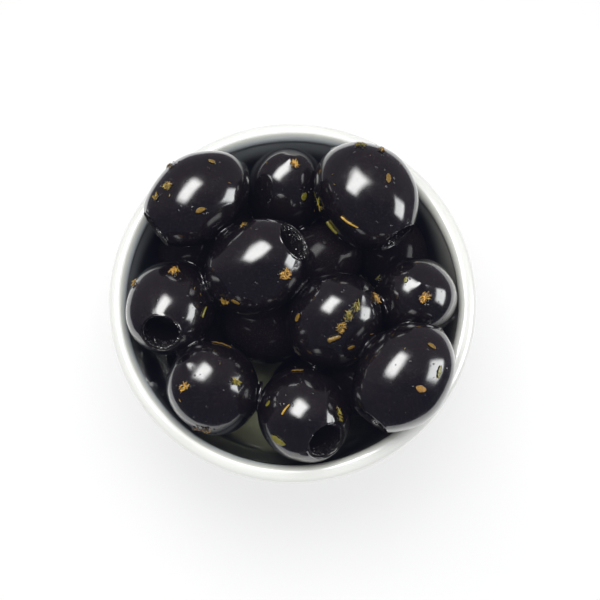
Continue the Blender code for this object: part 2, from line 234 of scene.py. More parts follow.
# %% Steps for finishes
def noise_at(tree, size_mm, detail=2.0, roughness=0.5):
    """A noise pattern in the object's own space, whose blotches are about this large."""
    place = tree.nodes.new("ShaderNodeTexCoord")
    pattern = tree.nodes.new("ShaderNodeTexNoise")
    pattern.inputs["Scale"].default_value = 1.0 / (size_mm * MM)
    pattern.inputs["Detail"].default_value = detail
    pattern.inputs["Roughness"].default_value = roughness
    link(tree, place.outputs["Object"], pattern.inputs["Vector"])
    return pattern.outputs["Fac"]


def bumped(tree, height, depth_mm, strength, below=None):
    """A normal that follows a height pattern, this deep, on top of another one if given."""
    bump = tree.nodes.new("ShaderNodeBump")
    bump.inputs["Strength"].default_value = strength
    bump.inputs["Distance"].default_value = depth_mm * MM
    link(tree, height, bump.inputs["Height"])
    if below is not None:
        link(tree, below, bump.inputs["Normal"])
    return bump.outputs["Normal"]


def new_finish(name, **sockets):
    """A material, with the given values set on the shader's own sockets."""
    finish = bpy.data.materials.new(name)
    finish.use_nodes = True
    shader = finish.node_tree.nodes["Principled BSDF"]
    for socket, value in sockets.items():
        shader.inputs[socket.replace("_", " ")].default_value = value
    return finish, finish.node_tree, shader


# %% Floor
FLOOR_REACH = 0.115
FLOOR_SIDES = 96
FLOOR_GLOW = 0.48
FLOOR_TONES = ((0.42, 0.42, 0.425, 1.0), (0.44, 0.44, 0.44, 1.0))


def floor_finish():
    """White that glows a little, with broad blotches which hardly show."""
    finish, tree, shader = new_finish(
        "floor_white", Roughness=0.9, Emission_Color=BACKGROUND, Emission_Strength=FLOOR_GLOW
    )
    tone = mixed_colour(tree, noise_at(tree, size_mm=60.0), *FLOOR_TONES)
    link(tree, tone, shader.inputs["Base Color"])
    return finish


def from_shape(name, shape, finishes, smooth=False):
    """A mesh object made from a worked shape, which is used up, with these finishes."""
    mesh = bpy.data.meshes.new(name)
    shape.to_mesh(mesh)
    shape.free()
    if smooth:
        mesh.shade_smooth()
    for finish in finishes:
        mesh.materials.append(finish)
    print(name, len(mesh.polygons), "faces")
    return in_scene(name, mesh)


def build_floor():
    sheet = bmesh.new()
    bmesh.ops.create_circle(sheet, cap_ends=True, segments=FLOOR_SIDES, radius=FLOOR_REACH)
    floor = from_shape("floor", sheet, [floor_finish()])


build_floor()

# %% [markdown]
# ## The bowl
# A porcelain bowl is thrown or pressed round one axis, so half its outline, turned by a Screw modifier, is
# the whole shape. The wall's middle is one curve, and its two faces lie half a wall to either side. The rim
# is a bead, a little thicker than the wall, and the foot is a ring. The solid has 48 sides, which show as
# corners along the white rim, so the same outline is turned here with four times as many.

# %% Sizes of the bowl
RIM_RADIUS = 45.0
DISH_HEIGHT = 40.0
BEAD_RADIUS = 2.2
WALL = 3.4
FLOOR_FLAT_RADIUS = 17.0
FLOOR_TOP = 6.0
FOOT_OUTER_RADIUS = 25.5
FOOT_INNER_RADIUS = 21.5
FOOT_CHAMFER = 0.6
FOOT_BULGE = FOOT_CHAMFER / 4
WALL_CURVE_OUT = 33.0
WALL_CURVE_UP = (38.8, 17.0)
WALL_STEPS = 44
BEAD_FROM = 202.5
BEAD_TO = -45.0
BEAD_STEPS = 33
BOWL_TURNS = 192
print("the bowl is", 2 * RIM_RADIUS, "mm wide and", DISH_HEIGHT, "mm high")

# %% The wall
def bezier(start, start_handle, end_handle, end, steps):
    """Points along a cubic curve, both ends included."""
    points = []
    for step in range(steps + 1):
        t = step / steps
        weights = ((1 - t) ** 3, 3 * (1 - t) ** 2 * t, 3 * (1 - t) * t * t, t**3)
        corners = (start, start_handle, end_handle, end)
        points.append(tuple(sum(w * c[axis] for w, c in zip(weights, corners)) for axis in (0, 1)))
    return points


def wall_line(steps):
    """The middle of the wall, from the edge of the flat floor up to the bead, as (radius, height)."""
    floor_middle = FLOOR_TOP - WALL / 2
    return bezier(
        (FLOOR_FLAT_RADIUS, floor_middle),
        (WALL_CURVE_OUT, floor_middle),
        WALL_CURVE_UP,
        (RIM_RADIUS - BEAD_RADIUS, DISH_HEIGHT - BEAD_RADIUS),
        steps,
    )


def offset(line, distance):
    """The line moved sideways, to its left as it runs, by the given distance."""
    moved = []
    for index, (radius, height) in enumerate(line):
        before = line[max(index - 1, 0)]
        after = line[min(index + 1, len(line) - 1)]
        run, rise = after[0] - before[0], after[1] - before[1]
        size = math.hypot(run, rise)
        moved.append((radius - rise / size * distance, height + run / size * distance))
    return moved


print("points along the wall:", len(wall_line(WALL_STEPS)))

# %% Half the bowl's outline
def bead_arc(steps):
    """The rounded rim, from the inner wall, over the top, to the outer wall."""
    arc = []
    for step in range(steps + 1):
        angle = math.radians(BEAD_FROM + (BEAD_TO - BEAD_FROM) * step / steps)
        radius = RIM_RADIUS - BEAD_RADIUS + BEAD_RADIUS * math.cos(angle)
        height = DISH_HEIGHT - BEAD_RADIUS + BEAD_RADIUS * math.sin(angle)
        arc.append((radius, height))
    return arc


def bowl_outline():
    """Half the bowl's outline, from the middle of its floor, over the rim, to the middle below."""
    line = wall_line(WALL_STEPS)
    inner = [(0.0, FLOOR_TOP)] + offset(line, WALL / 2)[:-1]
    outer = [p for p in offset(line, -WALL / 2)[:-1] if p[0] > FOOT_OUTER_RADIUS + FOOT_CHAMFER]
    underside = FLOOR_TOP - WALL
    foot = [
        (FOOT_OUTER_RADIUS, outer[0][1] - FOOT_CHAMFER),
        (FOOT_OUTER_RADIUS, FOOT_CHAMFER),
        (FOOT_OUTER_RADIUS - FOOT_BULGE, FOOT_BULGE),
        (FOOT_OUTER_RADIUS - FOOT_CHAMFER, 0.0),
        (FOOT_INNER_RADIUS + FOOT_CHAMFER, 0.0),
        (FOOT_INNER_RADIUS + FOOT_BULGE, FOOT_BULGE),
        (FOOT_INNER_RADIUS, FOOT_CHAMFER),
        (FOOT_INNER_RADIUS - FOOT_CHAMFER, underside),
        (0.0, underside),
    ]
    return inner + bead_arc(BEAD_STEPS) + outer[::-1] + foot


print("outline points:", len(bowl_outline()))

# %% [markdown]
# ## Glaze
# White glaze is glass over white clay: an even warm white with a hard clear coat. Its surface is never quite
# level, so a very low, wide waviness bends the lines of light along the rim. A film of oil coats the inner
# wall, and its darkness is painted shade, for the shade that falls between the wall and the black olives. It
# starts on the rim's inner half with a thin yellow edge of oil. The painted shade runs down lower and softer
# at the right and the front, where the wall faces the lamps, and it deepens towards the pool. It thins out
# again under the pool, last of all at the left, so the bottom is clean white. The foot ring is bare clay.

# %% Glaze
GLAZE_WHITE = (0.86, 0.865, 0.84, 1.0)
GLAZE_THICK = (0.83, 0.84, 0.81, 1.0)
CLAY_TONES = ((0.66, 0.63, 0.57, 1.0), (0.78, 0.75, 0.69, 1.0))


def paint_on(tree, shader, colour, normal, coat_normal=None):
    """Feeds a finish its colour and its relief, and the relief of its coat if it has one."""
    link(tree, colour, shader.inputs["Base Color"])
    link(tree, normal, shader.inputs["Normal"])
    if coat_normal is not None:
        link(tree, coat_normal, shader.inputs["Coat Normal"])


def glaze_finish(name, tint=None):
    """White glaze under its clear coat. A tint can lay something over its tone."""
    finish, tree, shader = new_finish(
        name, Roughness=0.30, Coat_Weight=1.0, Coat_Roughness=0.04, Coat_IOR=1.5
    )
    tone = mixed_colour(tree, noise_at(tree, size_mm=14.0, detail=3.0), GLAZE_THICK, GLAZE_WHITE)
    if tint is not None:
        tone = tint(tree, tone)
    wavy = bumped(tree, noise_at(tree, size_mm=6.0, detail=1.0), depth_mm=0.03, strength=0.5)
    paint_on(tree, shader, tone, wavy, wavy)
    return finish


def clay_finish():
    """Dull fired clay, speckled and a little sandy."""
    finish, tree, shader = new_finish("bare_clay", Roughness=0.85)
    tone = mixed_colour(tree, noise_at(tree, size_mm=0.5, detail=4.0), *CLAY_TONES)
    sandy = bumped(tree, noise_at(tree, size_mm=0.4, detail=4.0), depth_mm=0.05, strength=0.7)
    paint_on(tree, shader, tone, sandy)
    return finish


# %% Measuring inside a finish
def along_axis(tree, place, axis):
    """How far a place lies along an axis."""
    product = tree.nodes.new("ShaderNodeVectorMath")
    product.operation = "DOT_PRODUCT"
    link(tree, place, product.inputs[0])
    product.inputs[1].default_value = axis
    return product.outputs["Value"]


def distance_from_axis(tree, place):
    """How far a place lies from the bowl's axis."""
    flat = tree.nodes.new("ShaderNodeVectorMath")
    flat.operation = "MULTIPLY"
    link(tree, place, flat.inputs[0])
    flat.inputs[1].default_value = (1.0, 1.0, 0.0)
    length = tree.nodes.new("ShaderNodeVectorMath")
    length.operation = "LENGTH"
    link(tree, flat.outputs["Vector"], length.inputs[0])
    return length.outputs["Value"]


def step_between_mm(tree, value, limits):
    """A soft step between two limits in millimetres."""
    return step_between(tree, value, limits[0] * MM, limits[1] * MM)


# %% Film of oil, with painted shade
# The yellow edge is oil. The grey and the near-black below it are painted shade, for the shade between the
# wall and the dark olives. The painted shade starts lower on the side that faces the lamps.
OIL_EDGE_AND_SHADE = (0.54, 0.545, 0.495, 1.0)
PAINTED_SHADE_LIGHT = (0.48, 0.52, 0.55, 1.0)
PAINTED_SHADE_DEEP = (0.040, 0.051, 0.068, 1.0)
CREST_RADIUS = 42.8
EDGE_FADES_IN = (-0.3, 1.3)
EDGE_FADES_OUT = (0.7, 2.1)
PAINTED_SHADE_DEEPENS = (28.0, 34.5)
SHADE_LOWER_ON_LIT_SIDE = 3.5
PAINTED_SHADE_ENDS = (14.0, 18.5)
PAINTED_SHADE_ENDS_LOWER = 0.20
LOWER_BEYOND = 8.0
LIT_SIDE = (1.0, -0.45, 0.0)
LIT_SIDE_FROM = (2.0, 34.0)
SHADE_NARROWED_ON_LIT_SIDE = 0.60


def oil_film_and_painted_shade(tree, tone):
    """The glaze's tone with oil and painted shade over it: edge, light, deep, then white again below."""
    place = tree.nodes.new("ShaderNodeTexCoord").outputs["Object"]
    height = along_axis(tree, place, UPRIGHT)
    soft = step_between_mm(tree, along_axis(tree, place, LIT_SIDE), LIT_SIDE_FROM)
    narrowed = calculate(tree, "SUBTRACT", 1.0, calculate(tree, "MULTIPLY", soft, SHADE_NARROWED_ON_LIT_SIDE))
    inside = calculate(tree, "SUBTRACT", CREST_RADIUS * MM, distance_from_axis(tree, place))
    inside = calculate(tree, "MULTIPLY", inside, narrowed)
    lowered = calculate(tree, "MULTIPLY", soft, SHADE_LOWER_ON_LIT_SIDE * MM)
    lowered = calculate(tree, "SUBTRACT", height, lowered)
    shaded_film = mixed_colour(tree, step_between_mm(tree, lowered, PAINTED_SHADE_DEEPENS), PAINTED_SHADE_DEEP, PAINTED_SHADE_LIGHT)
    shaded_film = mixed_colour(tree, step_between_mm(tree, inside, EDGE_FADES_OUT), OIL_EDGE_AND_SHADE, shaded_film)
    to_left = along_axis(tree, place, (-PAINTED_SHADE_ENDS_LOWER, 0.0, 0.0))
    beyond = calculate(tree, "SUBTRACT", to_left, PAINTED_SHADE_ENDS_LOWER * LOWER_BEYOND * MM)
    raised = calculate(tree, "ADD", height, calculate(tree, "MAXIMUM", beyond, 0.0))
    shaded_film = mixed_colour(tree, step_between_mm(tree, raised, PAINTED_SHADE_ENDS), tone, shaded_film)
    return mixed_colour(tree, step_between_mm(tree, inside, EDGE_FADES_IN), tone, shaded_film)


# %% The bowl
MERGE_WITHIN = 0.000001
WHITE_PART, FILMED_SHADED_PART, CLAY_PART = range(3)
RIM_TOP_WHITE = 0.05


def turned(name, outline, turns):
    """A mesh object turned round the z axis from half its outline, in millimetres."""
    mesh = bpy.data.meshes.new(name)
    points = [(radius * MM, 0.0, height * MM) for radius, height in outline]
    mesh.from_pydata(points, [(i, i + 1) for i in range(len(points) - 1)], [])
    piece = in_scene(name, mesh)
    screw = piece.modifiers.new("Turn", "SCREW")
    screw.steps = turns
    screw.render_steps = turns
    screw.use_merge_vertices = True
    screw.merge_threshold = MERGE_WITHIN
    screw.use_smooth_shade = True
    bpy.context.view_layer.update()
    graph = bpy.context.evaluated_depsgraph_get()
    piece.data = bpy.data.meshes.new_from_object(piece.evaluated_get(graph))
    piece.modifiers.clear()
    return piece


def bowl_part(face):
    """What covers a face: oil film and painted shade inside, bare clay on the foot ring, or white glaze."""
    centre = face.center / MM
    radius = math.hypot(centre.x, centre.y)
    facing_in = centre.x * face.normal.x + centre.y * face.normal.y < 0 and centre.z > FLOOR_TOP
    if facing_in and centre.z < DISH_HEIGHT - RIM_TOP_WHITE:
        return FILMED_SHADED_PART
    if FOOT_INNER_RADIUS < radius < FOOT_OUTER_RADIUS and centre.z < FOOT_CHAMFER:
        return CLAY_PART
    return WHITE_PART


def build_bowl():
    bowl = turned("bowl", bowl_outline(), BOWL_TURNS)
    bowl.data.materials.clear()
    for finish in (glaze_finish("white_glaze"), glaze_finish("oily_glaze_painted_shade", oil_film_and_painted_shade), clay_finish()):
        bowl.data.materials.append(finish)
    for face in bowl.data.polygons:
        face.material_index = bowl_part(face)
    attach(bowl, "root")
    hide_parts("dish")
    print("bowl:", len(bowl.data.polygons), "faces")


build_bowl()

# %% [markdown]
# ## Where each olive lies
# The olives on top are laid out as the eye sees them: a middle, a length and a width, and how far the end
# with the mouth points right and up. The ones below fill the bowl in a ring and a layer between. Then the
# heap settles: olives that cross push each other apart, ones that nearly touch draw together, and the bowl
# holds them all. The solids were settled by the same steps, so the two heaps agree.

# %% How a heap settles
PRESS = 0.7
DISH_CLEARANCE = 0.4
SETTLE_ROUNDS = 260
SHELL_POINTS = 260
HOLD = 0.15
HIDDEN_HOLD = 0.10
SHOVE = 0.4
CLING = 0.10
CLING_REACH = 1.0
HIDDEN_EASE = 5.0
SETTLE_WALL_STEPS = 44
print("olives press into each other by", PRESS, "mm")

# %% Where the olives are laid
# Centre (x, y, z), length, width, (right, up) of the mouth end or tip in the view, whether the mouth shows.
TOP_OLIVES = {
    "top_left": ((-23.6, 24.0, 46.5), 28.8, 21.8, (-0.80, -0.58), True),
    "top_right": ((18.4, 24.2, 46.5), 29.4, 24.4, (0.575, -0.783), True),
    "middle_left": ((-9.9, 4.6, 45.6), 28.4, 23.6, (0.727, 0.484), True),
    "middle": ((10.4, -5.4, 44.5), 26.8, 23.2, (0.50, 0.50), False),
    "right": ((29.7, 1.0, 39.5), 25.0, 21.0, (0.10, 0.30), False),
    "low_right": ((26.7, -20.9, 48.0), 29.2, 23.2, (-0.61, -0.775), True),
    "bottom": ((2.2, -29.9, 41.0), 25.8, 22.6, (0.474, -0.535), True),
    "low_left": ((-19.6, -22.2, 41.5), 25.6, 22.6, (-0.50, 0.50), False),
    "left": ((-29.7, -1.2, 40.8), 28.4, 22.4, (-0.16, -0.51), True),
    "top_middle": ((-2.2, 28.7, 32.5), 25.2, 20.8, (0.10, 0.63), False),
}
RING_ANGLES = (58.0, 128.0, 200.0, 280.0, 345.0)
RING_SWINGS = (25.0, -20.0, 25.0, -30.0, 20.0)
RING_RADIUS = 20.8
RING_HEIGHT = 18.0
RING_LEAN = 0.30
RING_SIZE = (25.5, 20.8)
# Centre and long way of each olive between the ring and the top ones.
BETWEEN_OLIVES = (
    ((1.0, 3.5, 18.0), (0.8, 0.5, 0.2)),
    ((-9.0, 0.8, 30.5), (-0.9, 0.3, 0.2)),
    ((11.8, 13.5, 31.5), (0.8, 0.5, 0.1)),
    ((-24.0, 12.5, 29.5), (0.3, 0.9, 0.3)),
    ((17.0, -15.0, 30.0), (0.8, 0.4, 0.2)),
    ((25.5, 15.0, 28.0), (-0.5, 0.8, 0.2)),
)
BETWEEN_SIZE = (23.0, 19.0)
print("laid out:", len(RING_ANGLES) + len(BETWEEN_OLIVES) + len(TOP_OLIVES), "olives")

# %% Every olive before the heap settles
def frame_of(direction):
    """Three axes as columns, the third along the given direction."""
    along = Vector(direction).normalized()
    side = Vector((0.0, 0.0, 1.0)).cross(along).normalized()
    return np.array(Matrix((side, along.cross(side), along)).transposed())


def seen_direction(right, up):
    """A unit direction that shows as (right, up) in the view, its third part towards the eye."""
    depth = math.sqrt(max(0.0, 1.0 - right * right - up * up))
    return Vector((right, 0.0, 0.0)) + EYE_UP * up + TOWARDS_EYE * depth


def one_olive(name, place, size, direction, mouth=False, shows=False):
    """What the lesson keeps of one olive. Its frame holds the three axes of its own."""
    return {
        "name": name, "place": place, "size": size, "frame": frame_of(direction),
        "mouth": mouth, "shows": shows,
    }


def laid_olives():
    """Every olive, before the heap settles."""
    olives = []
    for index, angle in enumerate(RING_ANGLES):
        turn = math.radians(angle)
        swing = math.radians(angle + RING_SWINGS[index])
        place = (RING_RADIUS * math.cos(turn), RING_RADIUS * math.sin(turn), RING_HEIGHT)
        direction = (math.cos(swing), math.sin(swing), RING_LEAN)
        olives.append(one_olive(f"ring_{index}", place, RING_SIZE, direction))
    for index, (place, direction) in enumerate(BETWEEN_OLIVES):
        olives.append(one_olive(f"between_{index}", place, BETWEEN_SIZE, direction))
    for name, (place, length, width, points_to, mouth) in TOP_OLIVES.items():
        olives.append(one_olive(name, place, (length, width), seen_direction(*points_to), mouth, True))
    return olives


print("olives before they settle:", len(laid_olives()))

# %% Points on an olive
def even_sphere(count):
    """Points spread evenly over a unit sphere, on a spiral."""
    index = np.arange(count) + 0.5
    polar = np.arccos(1 - 2 * index / count)
    turn = math.pi * (1 + math.sqrt(5)) * index
    return np.stack([np.cos(turn) * np.sin(polar), np.sin(turn) * np.sin(polar), np.cos(polar)], axis=1)


def radii(olive):
    """Half the olive's size along the three axes of its own frame."""
    length, width = olive["size"]
    return np.array((width / 2, width / 2, length / 2))


def deepest_in(olive, centre, shell):
    """The point of a shell that lies deepest in an olive: its number, the way out there, and its depth."""
    local = (shell - centre) @ olive["frame"] / radii(olive)
    reach = np.linalg.norm(local, axis=1)
    deepest = reach.argmin()
    outward = olive["frame"] @ (local[deepest] / radii(olive))
    return deepest, outward, (1 - reach[deepest]) * olive["size"][1] / 2


# %% Off each other and off the wall
def push_each_other(olives, centres, shells, easy, move):
    """Adds to each olive's move: off the ones that it crosses, and towards ones that it nearly touches."""
    for i, first in enumerate(olives):
        for j, second in enumerate(olives):
            apart = np.linalg.norm(centres[i] - centres[j])
            if i == j or apart > (first["size"][0] + second["size"][0]) / 2:
                continue
            _, outward, depth = deepest_in(second, centres[j], shells[i] + centres[i])
            outward /= np.linalg.norm(outward)
            push = depth - PRESS
            if push > -PRESS - CLING_REACH:
                step = push * (SHOVE if push > 0 else CLING) * outward / (easy[i] + easy[j])
                move[i] += step * easy[i]
                move[j] -= step * easy[j]


def off_the_wall(shell, line, thick):
    """How far a shell has to move so that it clears the bowl's wall: right, back and up."""
    radius = np.hypot(shell[:, 0], shell[:, 1])
    away = np.stack([radius[:, None] - line[:, 0], shell[:, 2][:, None] - line[:, 1]], axis=2)
    space = np.linalg.norm(away, axis=2) - thick - DISH_CLEARANCE
    point, nearest = np.unravel_index(space.argmin(), space.shape)
    if space[point, nearest] >= 0:
        return np.zeros(3)
    lift = -space[point, nearest] * away[point, nearest] / np.linalg.norm(away[point, nearest])
    right = lift[0] * shell[point, 0] / radius[point]
    back = lift[0] * shell[point, 1] / radius[point]
    return np.array((right, back, lift[1]))


# %% The heap settles
def settle(olives):
    """Pushes the olives off each other and off the bowl until they only press together lightly."""
    sphere = even_sphere(SHELL_POINTS)
    floor = [(float(radius), FLOOR_TOP - WALL / 2) for radius in range(round(FLOOR_FLAT_RADIUS))]
    line = np.array(floor + wall_line(SETTLE_WALL_STEPS))
    thick = np.full(len(line), WALL / 2)
    thick[-1] = BEAD_RADIUS
    home = np.array([olive["place"] for olive in olives])
    centres = home.copy()
    shells = [sphere * radii(olive) @ olive["frame"].T for olive in olives]
    held = np.array([HOLD if olive["shows"] else HIDDEN_HOLD for olive in olives])
    easy = np.array([1.0 if olive["shows"] else HIDDEN_EASE for olive in olives])
    for _ in range(SETTLE_ROUNDS):
        move = (home - centres) * held[:, None]
        push_each_other(olives, centres, shells, easy, move)
        centres += move
        for i, shell in enumerate(shells):
            centres[i] += off_the_wall(shell + centres[i], line, thick)
    for olive, centre in zip(olives, centres):
        olive["place"] = tuple(centre)
    return olives


olives = settle(laid_olives())
print("olives:", len(olives), "of which show:", sum(olive["shows"] for olive in olives))

# %% [markdown]
# ## The shape of one olive
# A black olive is nearly an ellipsoid. The pitting machine pushes the stone out at one end, and leaves a
# round mouth with a crisp edge and a rough bore. The other end runs out into a small tip. So the outline
# goes up the bore, round the edge, down the skin to the tip, and is turned round the olive's own axis. No
# olive is perfect: each point is then moved in or out by soft noise, wide and low on the skin, fine and
# grainy in the bore, and in little folds round the mouth.

# %% Sizes of an olive's outline
MOUTH_RADIUS = 5.1
BORE_RADIUS = 4.5
BORE_DEPTH = 13.0
BORE_END = 2.0
BORE_END_STEPS = 6
BORE_STEPS = 26
BORE_FLARE = 0.35
# The mouth's edge is rounded by this much. Its points lie inwards and down by these shares of it.
EDGE_ROUND = 0.22
EDGE_POINTS = ((1.1, 2.0), (0.4, 0.7))
EDGE_BELOW = 4
EDGE_OUTSIDE = 0.4
TIP_REACH = 2.8
TIP_HEIGHT = 0.60
TIP_ROUND = 0.5
SKIN_RINGS = 58
SKIN_TURNS = 92
HIDDEN_RINGS = 30
HIDDEN_TURNS = 44
print("a mouth is", 2 * MOUTH_RADIUS, "mm wide, and its bore is", BORE_DEPTH, "mm deep")

# %% Outline of an olive
def mouth_height(olive):
    """How far along the olive's axis its mouth lies."""
    across, _, along = radii(olive)
    return along * math.sqrt(1 - (MOUTH_RADIUS / across) ** 2)


def bore_outline(top):
    """Up the bore, from its rounded end to the edge of the mouth."""
    points = []
    for step in range(BORE_END_STEPS + 1):
        angle = math.radians(90.0 * step / BORE_END_STEPS)
        points.append((BORE_RADIUS * math.sin(angle), top - BORE_DEPTH + BORE_END * (1 - math.cos(angle))))
    low, high = top - BORE_DEPTH + BORE_END, top - EDGE_BELOW * EDGE_ROUND
    for step in range(1, BORE_STEPS + 1):
        share = step / BORE_STEPS
        widening = (MOUTH_RADIUS - BORE_RADIUS) * BORE_FLARE * share**3
        points.append((BORE_RADIUS + widening, low + (high - low) * share))
    for inwards, down in EDGE_POINTS:
        points.append((MOUTH_RADIUS - inwards * EDGE_ROUND, top - down * EDGE_ROUND))
    return points


def olive_outline(olive, rings):
    """Half the outline of an olive along its own z axis, from its bore or top down to its tip."""
    across, _, along = radii(olive)
    start = math.asin((MOUTH_RADIUS + EDGE_OUTSIDE * EDGE_ROUND) / across) if olive["mouth"] else 0.0
    tip_end = -1 if olive["mouth"] else 1
    skin = []
    for ring in range(rings + 1):
        angle = start + (math.pi - start) * ring / rings
        radius, height = across * math.sin(angle), along * math.cos(angle)
        if height * tip_end > 0:
            from_tip = math.hypot(radius, TIP_ROUND) - TIP_ROUND
            height += tip_end * TIP_HEIGHT * max(0.0, 1 - from_tip / TIP_REACH) ** 2
        skin.append((radius, height))
    skin[-1] = (0.0, skin[-1][1])
    if not olive["mouth"]:
        skin[0] = (0.0, skin[0][1])
        return skin
    return bore_outline(mouth_height(olive)) + skin


most_points = max(len(olive_outline(olive, SKIN_RINGS)) for olive in olives)
print("points in the longest outline:", most_points)

# %% Uneven skin and grainy bore
LUMP_SIZE = 9.0
LUMP_HEIGHT = 0.42
LUMP_SINKS = 0.68
RIPPLE_SIZE = 3.2
RIPPLE_HEIGHT = 0.035
GRAIN_SIZE = 0.8
GRAIN_HEIGHT = 0.09
# How strong each finer layer of grain is, how much finer it is, and how many layers there are.
GRAIN_LAYERS = (0.6, 2.0, 3)
PUCKER_REACH = 3.0
PUCKER_HEIGHT = 0.16
PUCKER_SIZE = 1.3


def skin_lift(point):
    """How far the skin stands off the plain ellipsoid at this spot, in millimetres."""
    lump = (noise.noise(point / LUMP_SIZE) - LUMP_SINKS) * LUMP_HEIGHT
    ripple = noise.noise(point / RIPPLE_SIZE) * RIPPLE_HEIGHT
    return lump + ripple


def pucker(local, top):
    """How far fine folds push the skin in or out near the mouth, whose edge lies at the height top."""
    from_edge = math.hypot(math.hypot(local.x, local.y) - MOUTH_RADIUS, local.z - top)
    turn = math.atan2(local.y, local.x)
    round_mouth = Vector((math.cos(turn), math.sin(turn), 0.0)) * MOUTH_RADIUS / PUCKER_SIZE
    fold = noise.noise(round_mouth + Vector((0.0, 0.0, top))) * PUCKER_HEIGHT
    return fold * math.exp(-from_edge / PUCKER_REACH)


def grain_lift(point):
    """How far the bore's grainy wall stands out, in millimetres."""
    return noise.fractal(point / GRAIN_SIZE, *GRAIN_LAYERS) * GRAIN_HEIGHT


print("the skin is sunk by about", round(LUMP_SINKS * LUMP_HEIGHT, 2), "mm on the whole")

# %% One olive in its place
SKIN_PART, FLESH_PART = range(2)
BORE_BEGINS_INSIDE = 0.05


def placing(columns, place):
    """The matrix that takes a thing from its own axes to its place in the bowl."""
    matrix = Matrix(columns.tolist()).to_4x4()
    matrix.translation = place
    return matrix


def shaped_olive(olive):
    """One olive in its place, its skin uneven and its bore grainy, its faces marked as skin or flesh."""
    rings, turns = (SKIN_RINGS, SKIN_TURNS) if olive["shows"] else (HIDDEN_RINGS, HIDDEN_TURNS)
    piece = turned(olive["name"], olive_outline(olive, rings), turns)
    bore_limit = (MOUTH_RADIUS - BORE_BEGINS_INSIDE) * MM
    in_bore = [
        olive["mouth"] and vertex.co.z > 0 and math.hypot(vertex.co.x, vertex.co.y) < bore_limit
        for vertex in piece.data.vertices
    ]
    for face in piece.data.polygons:
        bored = all(in_bore[index] for index in face.vertices)
        face.material_index = FLESH_PART if bored else SKIN_PART
    folds = [0.0] * len(in_bore)
    if olive["mouth"]:
        folds = [pucker(vertex.co / MM, mouth_height(olive)) for vertex in piece.data.vertices]
    centre = Vector(olive["place"])
    piece.data.transform(placing(olive["frame"], centre * MM))
    for vertex, bore, fold in zip(piece.data.vertices, in_bore, folds):
        spot = vertex.co / MM
        if bore:
            vertex.co += vertex.normal * grain_lift(spot) * MM
        else:
            vertex.co += (spot - centre).normalized() * (skin_lift(spot) + fold) * MM
    return piece


# %% [markdown]
# ## Olive skin
# Black olive skin is almost black, a shade brown or plum where it thins, with fine paler pores, and its oil
# makes it mirror. Two layers do this: the skin itself, a little rough, spreads a soft glow round each
# highlight, and a clear coat keeps the highlight's crisp core. Fine waves in the coat feather the edges of
# what it mirrors.

# %% Skin and flesh
SKIN_BLACK = (0.0030, 0.0030, 0.0048, 1.0)
SKIN_PLUM = (0.0125, 0.0080, 0.0076, 1.0)
SKIN_PORE = (0.030, 0.025, 0.026, 1.0)
PORE_LIMITS = (0.52, 0.80)
ROUGH_LIMITS = (-0.6, 3.2)
SKIN_GLOSS = 0.35
OILY_ON_TOP = 1.0
# The hidden olives' skin mirrors less, as painted shade for the heap's dark depths.
GLOSS_DIMMED_AS_SHADE = 0.12
FLESH_DARK = (0.004, 0.0035, 0.0035, 1.0)
FLESH_PALE = (0.016, 0.012, 0.010, 1.0)


def skin_finish(name, mirror_share):
    """Black skin under a coat of oil. The mirror share says how much of a mirror it is."""
    finish, tree, shader = new_finish(
        name, IOR=1.5, Specular_IOR_Level=SKIN_GLOSS * mirror_share,
        Coat_Weight=mirror_share, Coat_Roughness=0.03, Coat_IOR=1.58,
    )
    patchy = mixed_colour(tree, noise_at(tree, size_mm=7.0, detail=3.0), SKIN_BLACK, SKIN_PLUM)
    pores = step_between(tree, noise_at(tree, size_mm=0.3, detail=2.0), *PORE_LIMITS)
    rough = step_between(tree, noise_at(tree, size_mm=2.5, detail=3.0), *ROUGH_LIMITS)
    link(tree, rough, shader.inputs["Roughness"])
    waves = bumped(tree, noise_at(tree, size_mm=1.8, detail=2.0), depth_mm=0.02, strength=0.35)
    ripples = noise_at(tree, size_mm=0.55, detail=1.0)
    waves = bumped(tree, ripples, depth_mm=0.006, strength=0.35, below=waves)
    leather = noise_at(tree, size_mm=0.45, detail=3.0)
    grain = bumped(tree, leather, depth_mm=0.02, strength=0.35, below=waves)
    paint_on(tree, shader, mixed_colour(tree, pores, patchy, SKIN_PORE), grain, waves)
    return finish


def flesh_tone(tree):
    """Flesh is mottled, a shade darker here and paler there."""
    return mixed_colour(tree, noise_at(tree, size_mm=0.9, detail=4.0), FLESH_DARK, FLESH_PALE)


def flesh_finish():
    """The torn flesh of the bore, dark and wet."""
    finish, tree, shader = new_finish(
        "olive_flesh", Roughness=0.40, IOR=1.4, Specular_IOR_Level=0.2,
        Coat_Weight=0.8, Coat_Roughness=0.03, Coat_IOR=1.5,
    )
    torn = noise_at(tree, size_mm=0.50, detail=2.0, roughness=0.7)
    grain = bumped(tree, torn, depth_mm=0.12, strength=0.7)
    paint_on(tree, shader, flesh_tone(tree), grain, grain)
    return finish


# %% The heap of olives
SKIN = skin_finish("olive_skin", OILY_ON_TOP)
# A copy of the skin with its mirror dimmed: painted shade for the hidden olives.
SKIN_IN_PAINTED_SHADE = skin_finish("olive_skin_painted_shade", GLOSS_DIMMED_AS_SHADE)
FLESH = flesh_finish()


def joined(name, pieces, finishes):
    """The pieces as one mesh object, with each face's material number kept."""
    whole = bmesh.new()
    for piece in pieces:
        whole.from_mesh(piece.data)
        bpy.data.objects.remove(piece)
    return from_shape(name, whole, finishes)


def build_olives():
    for name, shows, skin in (("olives_on_top", True, SKIN), ("olives_below", False, SKIN_IN_PAINTED_SHADE)):
        pieces = [shaped_olive(olive) for olive in olives if olive["shows"] == shows]
        heap = joined(name, pieces, (skin, FLESH))
        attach(heap, "root")
        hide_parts("olives")


build_olives()

